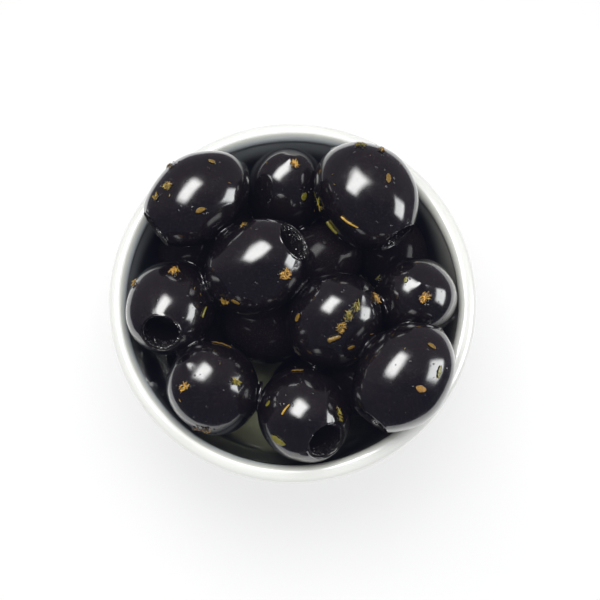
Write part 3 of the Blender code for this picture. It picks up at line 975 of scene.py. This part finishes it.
# %% [markdown]
# ## Wet grains in the bores
# The torn flesh in a bore is wet too, and its grains glitter just below the mouth, where the light still
# reaches them. Each is a small lump on the wall, left with flat faces: a face mirrors the lamp all at once
# or not at all, and that is what makes a glitter rather than a sheen.

# %% Wet grains
GRAINS_PER_BORE = 620
GRAIN_RADIUS_RANGE = (0.08, 0.20)
GRAIN_STRETCH = (0.8, 1.7)
GRAIN_FLAT = 0.7
GRAIN_TOP = 0.7
GRAIN_DEEPEST = 3.6
GRAIN_SEED = 5


def grain_finish():
    """A harder shine than the flesh itself, so that each flat face is a small mirror."""
    finish, tree, shader = new_finish(
        "wet_grain", Roughness=0.30, IOR=1.45, Coat_Weight=1.0, Coat_Roughness=0.06, Coat_IOR=2.1
    )
    scratched = bumped(tree, noise_at(tree, size_mm=0.2, detail=2.0), depth_mm=0.01, strength=0.3)
    paint_on(tree, shader, flesh_tone(tree), scratched)
    return finish


def add_grains(shape, olive, chance):
    """Scatters small lumps on the wall of one olive's bore, more of them near its mouth."""
    place = placing(olive["frame"], Vector(olive["place"]))
    top = mouth_height(olive)
    for _ in range(GRAINS_PER_BORE):
        turn = chance.uniform(0, 2 * math.pi)
        below = GRAIN_TOP + GRAIN_DEEPEST * chance.random() ** 2
        spot = Vector((BORE_RADIUS * math.cos(turn), BORE_RADIUS * math.sin(turn), top - below))
        radius = chance.uniform(*GRAIN_RADIUS_RANGE)
        made = bmesh.ops.create_icosphere(shape, subdivisions=1, radius=radius)
        swing = Matrix.Rotation(chance.uniform(0, math.pi), 3, "Z")
        swing = swing @ Matrix.Rotation(chance.uniform(0, math.pi), 3, "X")
        long = chance.uniform(*GRAIN_STRETCH)
        for vertex in made["verts"]:
            local = swing @ Vector((vertex.co.x * long, vertex.co.y, vertex.co.z * GRAIN_FLAT))
            vertex.co = place @ (spot + local) * MM


def build_grains():
    chance = random.Random(GRAIN_SEED)
    shape = bmesh.new()
    for olive in olives:
        if olive["mouth"]:
            add_grains(shape, olive, chance)
    grains = from_shape("bore_grains", shape, [grain_finish()])
    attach(grains, "root")
    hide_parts("olives")


build_grains()

# %% [markdown]
# ## Oil where olives touch
# Oil creeps into the narrow gap round each place where two olives touch, and stands there as a small bridge
# with a wavy edge. Its edge catches the lamps and draws the short bright lines between the olives. Each one
# is a thin disc across the touching place, wide enough to come out of the gap all round.

# %% One bridge of oil
BRIDGE_GAP = 0.5
BRIDGE_OUT = 0.95
BRIDGE_HALF = 0.42
BRIDGE_WAVE = 0.55
BRIDGE_WAVE_SIZE = 1.6
BRIDGE_TURNS = 56
BRIDGE_ROUND = 6


def touching_place(first, second):
    """Where two olives touch: the spot, the way from the second to the first, and how deep they press."""
    shell = even_sphere(SHELL_POINTS) * radii(first) @ first["frame"].T + np.array(first["place"])
    deepest, outward, press = deepest_in(second, np.array(second["place"]), shell)
    outward = Vector(outward).normalized()
    return Vector(shell[deepest]) + outward * press / 2, outward, press


def bridge(first, second):
    """The disc of oil between two olives, or nothing where they don't touch."""
    spot, outward, press = touching_place(first, second)
    if press < -BRIDGE_GAP:
        return None
    reach = math.sqrt(max(press, 0.0) * first["size"][1] / 2) + BRIDGE_OUT
    outline = [(0.0, BRIDGE_HALF)]
    for step in range(BRIDGE_ROUND + 1):
        angle = math.radians(90.0 - 180.0 * step / BRIDGE_ROUND)
        outline.append((reach - BRIDGE_HALF + BRIDGE_HALF * math.cos(angle), BRIDGE_HALF * math.sin(angle)))
    outline.append((0.0, -BRIDGE_HALF))
    disc = turned("bridge", outline, BRIDGE_TURNS)
    disc.data.transform(placing(frame_of(outward), spot * MM))
    for vertex in disc.data.vertices:
        away = vertex.co / MM - spot
        wave = noise.noise(vertex.co / MM / BRIDGE_WAVE_SIZE) * BRIDGE_WAVE
        vertex.co += away.normalized() * wave * (away.length / reach) ** 2 * MM
    return disc


# %% All the bridges
def build_bridges():
    discs = []
    for index, first in enumerate(olives):
        for second in olives[index + 1 :]:
            close = (Vector(first["place"]) - Vector(second["place"])).length < first["size"][0]
            if close and (first["shows"] or second["shows"]):
                discs.append(bridge(first, second))
    bridges = joined("oil_bridges", [disc for disc in discs if disc], (SKIN,))
    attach(bridges, "root")
    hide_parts("olives")


build_bridges()

# %% [markdown]
# ## Oil in the bottom
# The oil fills the bowl's bottom up to one level. The piece reaches a little into the wall and the olives
# stand in it, so that no gap of air shows. Oil climbs what it wets, so its surface turns up at the wall and
# round each olive. It lets light through, with a green tint.

# %% Oil
OIL_LEVEL = 18.0
INTO_WALL = 0.25
CLIMB = 0.9
CLIMB_REACH = 0.9
OIL_RINGS = 64
OIL_TURNS = 144
OIL_TINT = (0.72, 0.755, 0.50, 1.0)
OIL_SHADOW_TINT = (0.90, 0.91, 0.76, 1.0)
LEVEL_WITHIN = 0.01


def oil_finish():
    """Clear green oil. Its shadow is nearly clear, so that light reaches the bowl's bottom."""
    finish, tree, shader = new_finish(
        "olive_oil", Base_Color=OIL_TINT, Roughness=0.03, IOR=1.47, Transmission_Weight=1.0
    )
    ray = tree.nodes.new("ShaderNodeLightPath")
    clear = tree.nodes.new("ShaderNodeBsdfTransparent")
    clear.inputs["Color"].default_value = OIL_SHADOW_TINT
    mix = tree.nodes.new("ShaderNodeMixShader")
    link(tree, ray.outputs["Is Shadow Ray"], mix.inputs["Fac"])
    link(tree, shader.outputs["BSDF"], mix.inputs[1])
    link(tree, clear.outputs["BSDF"], mix.inputs[2])
    link(tree, mix.outputs["Shader"], tree.nodes["Material Output"].inputs["Surface"])
    ripples = bumped(tree, noise_at(tree, size_mm=5.0, detail=1.0), depth_mm=0.03, strength=0.4)
    link(tree, ripples, shader.inputs["Normal"])
    return finish


# %% The pool
def oil_outline():
    """Half the pool's outline: its level top from the middle out, then the wall and the floor."""
    wall = offset(wall_line(WALL_STEPS), WALL / 2 - INTO_WALL)
    side = [point for point in wall if point[1] < OIL_LEVEL]
    (near, low), (far, high) = side[-1], wall[len(side)]
    rim = near + (far - near) * (OIL_LEVEL - low) / (high - low)
    top = [(rim * step / OIL_RINGS, OIL_LEVEL) for step in range(OIL_RINGS + 1)]
    return rim, top + side[::-1] + [(0.0, FLOOR_TOP - INTO_WALL)]


def climbed(spot, rim):
    """How far the oil climbs at a spot of its surface, by the gap to the nearest thing that it wets."""
    gaps = [rim - math.hypot(spot[0], spot[1])]
    for olive in olives:
        local = (spot - np.array(olive["place"])) @ olive["frame"] / radii(olive)
        gaps.append((np.linalg.norm(local) - 1) * olive["size"][1] / 2)
    return CLIMB * math.exp(-max(min(gaps), 0.0) / CLIMB_REACH)


def build_oil():
    rim, outline = oil_outline()
    oil = turned("oil_pool", outline, OIL_TURNS)
    oil.data.materials.clear()
    oil.data.materials.append(oil_finish())
    for vertex in oil.data.vertices:
        spot = np.array(vertex.co) / MM
        if spot[2] >= OIL_LEVEL - LEVEL_WITHIN:
            vertex.co.z += climbed(spot, rim) * MM
    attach(oil, "root")
    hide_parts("oil")
    print("oil pool:", round(rim, 1), "mm in radius at its surface")


build_oil()

# %% [markdown]
# ## Dried herbs
# Bits of dried leaf and stalk cling to the oily skin: flat ovals, thin stalks, and crumbs in little clumps.
# Each is laid by where the eye sees it on its olive, and every point of it is set on that olive's skin, so
# it bends round the olive. A colour is painted into each bit's own points, and one finish reads it, so that
# a whole kind is one piece.

# %% Places on the skin
def on_skin(olive, point):
    """The spot on the olive's skin straight out from its middle through the point, and the way out there."""
    size = radii(olive)
    local = (np.array(point) - np.array(olive["place"])) @ olive["frame"]
    local /= np.linalg.norm(local / size)
    outward = Vector(olive["frame"] @ (local / size**2)).normalized()
    spot = Vector(olive["frame"] @ local) + Vector(olive["place"])
    centre = Vector(olive["place"])
    return spot + (spot - centre).normalized() * skin_lift(spot), outward


def seen_spot(olive, right, up):
    """The spot on the olive's skin that the eye sees that far right of its middle and above it."""
    size = radii(olive)
    start = (Vector((right, 0.0, 0.0)) + EYE_UP * up) @ Matrix(olive["frame"].tolist())
    way = TOWARDS_EYE @ Matrix(olive["frame"].tolist())
    start, way = np.array(start) / size, np.array(way) / size
    a, b, c = way @ way, 2 * start @ way, start @ start - 1
    root = math.sqrt(max(0.0, b * b - 4 * a * c))
    local = (start + way * (root - b) / (2 * a)) * size
    return on_skin(olive, olive["frame"] @ local + np.array(olive["place"]))


def towards_mouth(olive, spot):
    """How far along the olive's axis a spot on its skin lies."""
    return float((np.array(spot) - np.array(olive["place"])) @ olive["frame"][:, 2])


def laid_frame(olive, right, up, turn_degrees):
    """A spot on the skin with the directions along and across a bit that lies there."""
    spot, outward = seen_spot(olive, right, up)
    lean = math.radians(turn_degrees)
    along = Vector((math.cos(lean), 0.0, 0.0)) + EYE_UP * math.sin(lean)
    along = (along - outward * along.dot(outward)).normalized()
    return spot, along, outward.cross(along)


by_name = {olive["name"]: olive for olive in olives}
in_front = seen_spot(by_name["middle"], 0.0, 0.0)[0]
print("the eye meets the middle olive at", [round(part, 1) for part in in_front])

# %% Herb places
# Right and up of the olive's middle in the view, length and width, all in millimetres, then the turn in
# degrees, the kind and the colour.
HERBS = {
    "top_left": (
        (1.0, -2.9, 2.6, 1.3, 20, "leaf", "gold"), (-7.1, 2.9, 2.6, 2.0, 40, "crumbs", "dun"),
        (3.7, 9.1, 1.9, 1.1, -30, "leaf", "gold"), (-6.4, 8.1, 2.4, 1.0, 20, "crumbs", "plum"),
        (-10.0, 0.2, 1.8, 1.0, 70, "crumbs", "gold"),
    ),
    "top_right": (
        (5.1, 3.9, 2.6, 1.3, 80, "leaf", "gold"), (-4.4, -6.9, 5.0, 0.5, -29, "stalk", "straw"),
        (-1.5, 12.2, 3.4, 2.0, -20, "crumbs", "moss"), (-11.6, -2.2, 3.5, 1.0, -80, "crumbs", "lime"),
        (-8.6, -8.0, 3.8, 0.8, -45, "stalk", "lime"), (3.4, 11.0, 2.0, 1.0, -30, "crumbs", "plum"),
    ),
    "middle_left": (
        (7.1, -1.7, 3.6, 2.6, 20, "crumbs", "rust"), (-7.6, -8.4, 2.8, 1.8, 20, "crumbs", "gold"),
        (-5.1, -8.6, 2.4, 1.2, -20, "leaf", "gold"), (-3.0, 10.0, 2.0, 1.0, 10, "crumbs", "gold"),
    ),
    "middle": (
        (5.1, 3.2, 3.4, 2.0, 40, "crumbs", "moss"), (3.4, 1.0, 3.6, 2.0, 60, "crumbs", "moss"),
        (1.7, -1.7, 3.4, 2.2, 60, "crumbs", "gold"), (0.0, -4.2, 3.2, 1.0, 25, "stalk", "gold"),
        (10.2, 5.3, 3.0, 2.4, 60, "crumbs", "rust"), (-8.8, 0.7, 2.4, 1.3, 40, "leaf", "gold"),
        (4.2, -6.6, 1.9, 1.1, 20, "leaf", "gold"),
    ),
    "right": (
        (2.0, 0.5, 3.2, 2.6, 50, "crumbs", "rust"), (-2.5, 4.7, 1.6, 1.0, 80, "leaf", "lime"),
        (-9.0, 5.1, 1.6, 0.9, 0, "crumbs", "moss"),
    ),
    "low_right": (
        (6.6, 7.8, 2.4, 1.2, -30, "leaf", "gold"), (8.3, 1.5, 3.4, 1.1, 70, "leaf", "lime"),
        (3.7, -2.5, 2.8, 1.7, -20, "leaf", "rust"),
    ),
    "bottom": (
        (-1.5, 11.0, 3.0, 1.2, -5, "leaf", "gold"), (-8.6, 2.9, 1.8, 1.1, 30, "leaf", "lime"),
        (-4.4, 1.7, 3.0, 0.5, 50, "stalk", "straw"), (-6.1, -5.9, 4.6, 1.9, -15, "leaf", "lime"),
        (8.6, 0.4, 4.4, 0.9, -78, "crumbs", "lime"),
    ),
    "low_left": (
        (2.2, 10.8, 5.0, 0.9, -20, "leaf", "gold"), (-6.6, 0.7, 3.0, 2.0, 20, "crumbs", "rust"),
        (5.6, 2.0, 2.8, 1.6, -20, "crumbs", "lime"), (-2.5, -9.9, 4.6, 1.0, -5, "crumbs", "plum"),
    ),
    "left": (
        (1.0, 8.8, 3.2, 2.4, 60, "crumbs", "rust"), (-8.6, 5.6, 2.0, 1.0, 60, "crumbs", "gold"),
        (8.4, -1.2, 3.0, 0.5, 45, "stalk", "lime"),
    ),
    "top_middle": (
        (2.2, 6.4, 2.6, 1.7, -20, "crumbs", "rust"), (4.4, -1.5, 2.2, 1.5, 80, "leaf", "lime"),
    ),
}
HERB_COLOURS = {
    "gold": (0.26, 0.160, 0.014), "dun": (0.22, 0.16, 0.05), "straw": (0.60, 0.38, 0.05),
    "rust": (0.42, 0.235, 0.050), "lime": (0.21, 0.20, 0.008), "moss": (0.09, 0.10, 0.006),
    "plum": (0.07, 0.035, 0.022), "brown": (0.06, 0.032, 0.008),
}
print("bits of herb:", sum(len(herbs) for herbs in HERBS.values()))

# %% Paint, and the way onto the skin
HERB_SEED = 7
PAINT_VARIES = (0.75, 1.25)
herb_chance = random.Random(HERB_SEED)


def painted(shape, first_vertex, colour, layer):
    """Gives each new point the colour, a little lighter or darker."""
    for vertex in list(shape.verts)[first_vertex:]:
        shade = herb_chance.uniform(*PAINT_VARIES)
        vertex[layer] = (*(part * shade for part in colour), 1.0)


def set_on_skin(shape, first_vertex, olive, laid, raised):
    """Moves new points, given as (along, across, height) in millimetres, onto the olive's skin."""
    spot, along, across = laid
    for vertex in list(shape.verts)[first_vertex:]:
        skin, out = on_skin(olive, spot + along * vertex.co.x + across * vertex.co.y)
        vertex.co = (skin + out * (vertex.co.z + raised)) * MM


# %% The points of a leaf
LEAF_THICK = 0.20
LEAF_RAISED = 0.16
LEAF_STEPS = (12, 6)
LEAF_BENT = 0.12
LEAF_UNEVEN = (0.85, 1.12)
LEAF_ENDS = 0.75
LEAF_CURL = 0.10
CRINKLE_HEIGHT = 0.05
CRINKLES = 9
RIB_HEIGHT = 0.07
RIB_NARROW = 4
UPPER, UNDER = 1, -1


def leaf_height(share, sideways, side, width):
    """How far a leaf's upper or under side stands off: curled edges, a midrib and half its thickness."""
    curl = LEAF_CURL * width * sideways**2 + CRINKLE_HEIGHT * math.cos(CRINKLES * share)
    rib = RIB_HEIGHT * math.exp(-((sideways * RIB_NARROW) ** 2))
    return curl + rib + side * LEAF_THICK / 2 * (1 - sideways**4)


def leaf_grid(shape, length, width):
    """The points of a leaf's two sides, which share those round its edge."""
    cells, rows = LEAF_STEPS
    bend = herb_chance.uniform(-LEAF_BENT, LEAF_BENT) * length
    grid = {}
    for side in (UPPER, UNDER):
        for i in range(cells + 1):
            share = 2 * i / cells - 1
            half = width / 2 * max(0.0, 1 - share * share) ** LEAF_ENDS * herb_chance.uniform(*LEAF_UNEVEN)
            for j in range(rows + 1):
                sideways = 2 * j / rows - 1
                if side == UNDER and (i in (0, cells) or j in (0, rows)):
                    grid[side, i, j] = grid[UPPER, i, j]
                    continue
                height = leaf_height(share, sideways, side, width)
                place = (share * length / 2, sideways * half + bend * share**2, height)
                grid[side, i, j] = shape.verts.new(place)
    return grid


# %% A leaf
def add_leaf(shape, layer, olive, herb, colour):
    """A flat oval with pointed ends, a midrib and slightly curled edges, closed all round."""
    right, up, length, width, turn_degrees = herb
    laid = laid_frame(olive, right, up, turn_degrees)
    first = len(shape.verts)
    grid = leaf_grid(shape, length, width)
    cells, rows = LEAF_STEPS
    for side in (UPPER, UNDER):
        for i in range(cells):
            for j in range(rows):
                corners = [grid[side, i + a, j + b] for a, b in ((0, 0), (1, 0), (1, 1), (0, 1))]
                shape.faces.new(corners if side == UPPER else corners[::-1])
    set_on_skin(shape, first, olive, laid, LEAF_RAISED)
    painted(shape, first, colour, layer)


# %% A stalk
STALK_SIDES = 8
STALK_STEPS = 12
STALK_BENT = 0.06
STALK_TAPERS = 0.25
STALK_END = 0.6
STALK_UNEVEN = (0.9, 1.1)


def stalk_rings(shape, length, width):
    """Rings of points along a stalk, which is thicker at one end and narrows where it is cut."""
    bend = herb_chance.uniform(-STALK_BENT, STALK_BENT) * length
    rings = []
    for i in range(STALK_STEPS + 1):
        share = 2 * i / STALK_STEPS - 1
        thick = width / 2 * (1.0 - STALK_TAPERS * share)
        thick *= STALK_END if i in (0, STALK_STEPS) else herb_chance.uniform(*STALK_UNEVEN)
        ring = []
        for k in range(STALK_SIDES):
            angle = 2 * math.pi * k / STALK_SIDES
            sideways = bend * share**2 + thick * math.cos(angle)
            ring.append(shape.verts.new((share * length / 2, sideways, thick * math.sin(angle))))
        rings.append(ring)
    return rings


def add_stalk(shape, layer, olive, herb, colour):
    """A thin stalk that lies along the skin, closed at both ends."""
    right, up, length, width, turn_degrees = herb
    laid = laid_frame(olive, right, up, turn_degrees)
    first = len(shape.verts)
    rings = stalk_rings(shape, length, width)
    for low, high in zip(rings, rings[1:]):
        for k in range(STALK_SIDES):
            after = (k + 1) % STALK_SIDES
            shape.faces.new((low[k], low[after], high[after], high[k]))
    shape.faces.new(rings[0][::-1])
    shape.faces.new(rings[-1])
    set_on_skin(shape, first, olive, laid, width / 2)
    painted(shape, first, colour, layer)


# %% A torn shred
CRUMB_FORM = (0.92, 0.17, 0.10)
CRUMB_TILT = (0.9, 0.7)
TORN_BY = 0.75
TEARS_FINE = 2.2
BENT_BY = 0.25
WARPED_BY = 0.16
WARPS_FINE = 2.0
NOISE_PLACES = 90
SHRED_JITTER = 0.02


def add_shred(shape, size, ahead, aside):
    """One torn shred, tilted any way, this far ahead and aside of its clump's middle."""
    tilt = Matrix.Rotation(herb_chance.uniform(-CRUMB_TILT[0], CRUMB_TILT[0]), 3, "X")
    tilt = tilt @ Matrix.Rotation(herb_chance.uniform(-CRUMB_TILT[1], CRUMB_TILT[1]), 3, "Y")
    swing = Matrix.Rotation(herb_chance.uniform(0, 2 * math.pi), 3, "Z")
    made = bmesh.ops.create_icosphere(shape, subdivisions=2, radius=1.0)
    seed = Vector((herb_chance.uniform(0, NOISE_PLACES), herb_chance.uniform(0, NOISE_PLACES), 0.0))
    for vertex in made["verts"]:
        torn = 1 + TORN_BY * noise.noise(vertex.co * TEARS_FINE + seed)
        local = Vector(part * share for part, share in zip(vertex.co, CRUMB_FORM)) * size * torn
        local.y += BENT_BY * size * vertex.co.x**2
        local.z += WARPED_BY * size * noise.noise(vertex.co * WARPS_FINE - seed)
        local = swing @ (tilt @ local)
        vertex.co = local + Vector((ahead, aside, herb_chance.uniform(0.0, SHRED_JITTER)))


# %% A clump of crumbs
CRUMB_ACROSS = 0.62
CRUMBS_CROWDED = 2.4
CRUMBS_WITHIN = 0.8
CRUMB_VARIES = (0.6, 1.3)
CRUMB_RAISED = (0.08, 0.70)
# Lower shreds are painted darker and upper ones lighter: painted shade and painted light within the pile.
CRUMB_PAINTED_SHADE = (0.35, 2.5)
CRUMB_COLOURS = ("gold", "dun", "straw", "brown", "lime")
CRUMB_BLEND = 0.7


def crumb_colour(colour, shade):
    """The clump's colour with a little of another, so no two shreds match, darkened by painted shade."""
    other = HERB_COLOURS[herb_chance.choice(CRUMB_COLOURS)]
    share = herb_chance.uniform(0.0, CRUMB_BLEND)
    return tuple((a * (1 - share) + b * share) * shade for a, b in zip(colour, other))


def add_crumbs(shape, layer, olive, herb, colour, share_of_size=1.0):
    """A clump of small torn shreds within an oval. Lower ones get painted shade, upper ones painted light."""
    right, up, length, width, turn_degrees = herb
    laid = laid_frame(olive, right, up, turn_degrees)
    for _ in range(max(1, round(CRUMBS_CROWDED * length * width / CRUMB_ACROSS**2))):
        angle = herb_chance.uniform(0, 2 * math.pi)
        reach = math.sqrt(herb_chance.random()) * CRUMBS_WITHIN
        ahead = reach * math.cos(angle) * length / 2
        aside = reach * math.sin(angle) * width / 2
        size = CRUMB_ACROSS * herb_chance.uniform(*CRUMB_VARIES) * share_of_size
        first = len(shape.verts)
        add_shred(shape, size, ahead, aside)
        lift = herb_chance.random()
        raised, shade = (low + (high - low) * lift for low, high in (CRUMB_RAISED, CRUMB_PAINTED_SHADE))
        set_on_skin(shape, first, olive, laid, raised)
        painted(shape, first, crumb_colour(colour, shade), layer)


# %% Specks
SPECKS_PER_OLIVE = 5
SPECK_SIZE = (0.5, 0.35)
SPECK_SHARE = 0.55
SPECK_OUTSIDE = (0.55, 0.93)
SPECK_COLOURS = ("brown", "plum", "gold", "moss")
CLEAR_OF_MOUTH = 1.0


def add_specks(shape, layer, olive):
    """Single small shreds round an olive's outer part, as seen."""
    for _ in range(SPECKS_PER_OLIVE):
        turn = herb_chance.uniform(0, 2 * math.pi)
        reach = herb_chance.uniform(*SPECK_OUTSIDE) * olive["size"][1] / 2
        right, up = reach * math.cos(turn), reach * math.sin(turn)
        herb = (right, up, *SPECK_SIZE, herb_chance.uniform(0, 180))
        colour = HERB_COLOURS[herb_chance.choice(SPECK_COLOURS)]
        along = towards_mouth(olive, seen_spot(olive, right, up)[0])
        if not olive["mouth"] or along < mouth_height(olive) - CLEAR_OF_MOUTH:
            add_crumbs(shape, layer, olive, herb, colour, SPECK_SHARE)


# %% Herb finish
VEINS_DARK = (0.30, 0.26, 0.18, 1.0)
VEINS_LIGHT = (1.30, 1.22, 0.95, 1.0)
PAINT = "paint"


def herb_finish():
    """Dried leaf under a little oil: the painted colour, veined darker and lighter, and crinkled."""
    finish, tree, shader = new_finish(
        "dried_herb", Roughness=0.55, Specular_IOR_Level=0.25,
        Coat_Weight=0.8, Coat_Roughness=0.07, Coat_IOR=1.47,
    )
    paint = tree.nodes.new("ShaderNodeVertexColor")
    paint.layer_name = PAINT
    veined = noise_at(tree, size_mm=0.5, detail=4.0, roughness=0.65)
    veins = mixed_colour(tree, veined, VEINS_DARK, VEINS_LIGHT)
    tone = mixed_colour(tree, 1.0, paint.outputs["Color"], veins, blend="MULTIPLY")
    crinkled = bumped(tree, noise_at(tree, size_mm=0.35, detail=3.0), depth_mm=0.12, strength=0.8)
    paint_on(tree, shader, tone, crinkled, crinkled)
    return finish


# %% Pieces of herb
HERB_FINISH = herb_finish()
HERB_MAKERS = {"leaf": add_leaf, "stalk": add_stalk, "crumbs": add_crumbs}


def build_herbs():
    for kind, maker in HERB_MAKERS.items():
        shape = bmesh.new()
        layer = shape.verts.layers.float_color.new(PAINT)
        for name, herbs in HERBS.items():
            for *herb, herb_kind, colour in herbs:
                if herb_kind == kind:
                    maker(shape, layer, by_name[name], herb, HERB_COLOURS[colour])
            if kind == "crumbs":
                add_specks(shape, layer, by_name[name])
        bmesh.ops.recalc_face_normals(shape, faces=shape.faces)
        piece = from_shape(f"herb_{kind}", shape, [HERB_FINISH], smooth=True)
        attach(piece, "root")
        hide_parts("olives")


build_herbs()

# %% [markdown]
# ## Beads of oil
# Oil doesn't lie evenly on skin: it gathers round each bit of herb and stands in small beads. On black skin a
# bead is as dark as what lies under it, and shows only by the glint that it mirrors, so each is a low dome
# with the skin's own finish, half sunk in the skin.

# %% Where beads stand
BEADS_BY_HERB = 3
BEADS_IN_CLUMP = 7
CLUMP_BEAD_RAISED = 0.42
BEADS_ON_OLIVE = 9
BEAD_SPREAD = 1.3
SEEN_SHARE = 0.80


def bead_places(olive, chance):
    """Right, up and lift of one olive's beads, as seen: round its herbs, in its clumps, and on bare skin."""
    places = []
    for right, up, length, width, turn_degrees, kind, _ in HERBS[olive["name"]]:
        for _ in range(BEADS_BY_HERB):
            turn = chance.uniform(0, 2 * math.pi)
            reach = length / 2 + chance.uniform(0.0, BEAD_SPREAD)
            places.append((right + reach * math.cos(turn), up + reach * math.sin(turn), 0.0))
        for _ in range(BEADS_IN_CLUMP if kind == "crumbs" else 0):
            lean = math.radians(turn_degrees)
            ahead = chance.uniform(-0.5, 0.5) * length
            aside = chance.uniform(-0.5, 0.5) * width
            across = ahead * math.cos(lean) - aside * math.sin(lean)
            upwards = ahead * math.sin(lean) + aside * math.cos(lean)
            places.append((right + across, up + upwards, chance.uniform(0.0, CLUMP_BEAD_RAISED)))
    for _ in range(BEADS_ON_OLIVE):
        turn = chance.uniform(0, 2 * math.pi)
        reach = math.sqrt(chance.random()) * SEEN_SHARE * olive["size"][1] / 2
        places.append((reach * math.cos(turn), reach * math.sin(turn), 0.0))
    return places


# %% Oil beads
BEAD_RADIUS_RANGE = (0.08, 0.30)
BEAD_LONG = (1.0, 1.8)
BEAD_HEIGHT_SHARE = 0.55
BEAD_SEED = 11


def add_bead(shape, olive, laid, radius, long, raised):
    """One low dome, a little drawn out, sunk half way into the skin."""
    first = len(shape.verts)
    made = bmesh.ops.create_icosphere(shape, subdivisions=2, radius=radius)
    for vertex in made["verts"]:
        vertex.co.x *= long
        vertex.co.z *= BEAD_HEIGHT_SHARE
    set_on_skin(shape, first, olive, laid, raised)


def build_beads():
    chance = random.Random(BEAD_SEED)
    shape = bmesh.new()
    for name in TOP_OLIVES:
        olive = by_name[name]
        for right, up, raised in bead_places(olive, chance):
            laid = laid_frame(olive, right, up, chance.uniform(0, 180))
            radius = chance.uniform(*BEAD_RADIUS_RANGE)
            if olive["mouth"] and towards_mouth(olive, laid[0]) > mouth_height(olive) - 2 * radius:
                continue
            add_bead(shape, olive, laid, radius, chance.uniform(*BEAD_LONG), raised)
    beads = from_shape("oil_beads", shape, [SKIN], smooth=True)
    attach(beads, "root")
    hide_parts("olives")


build_beads()
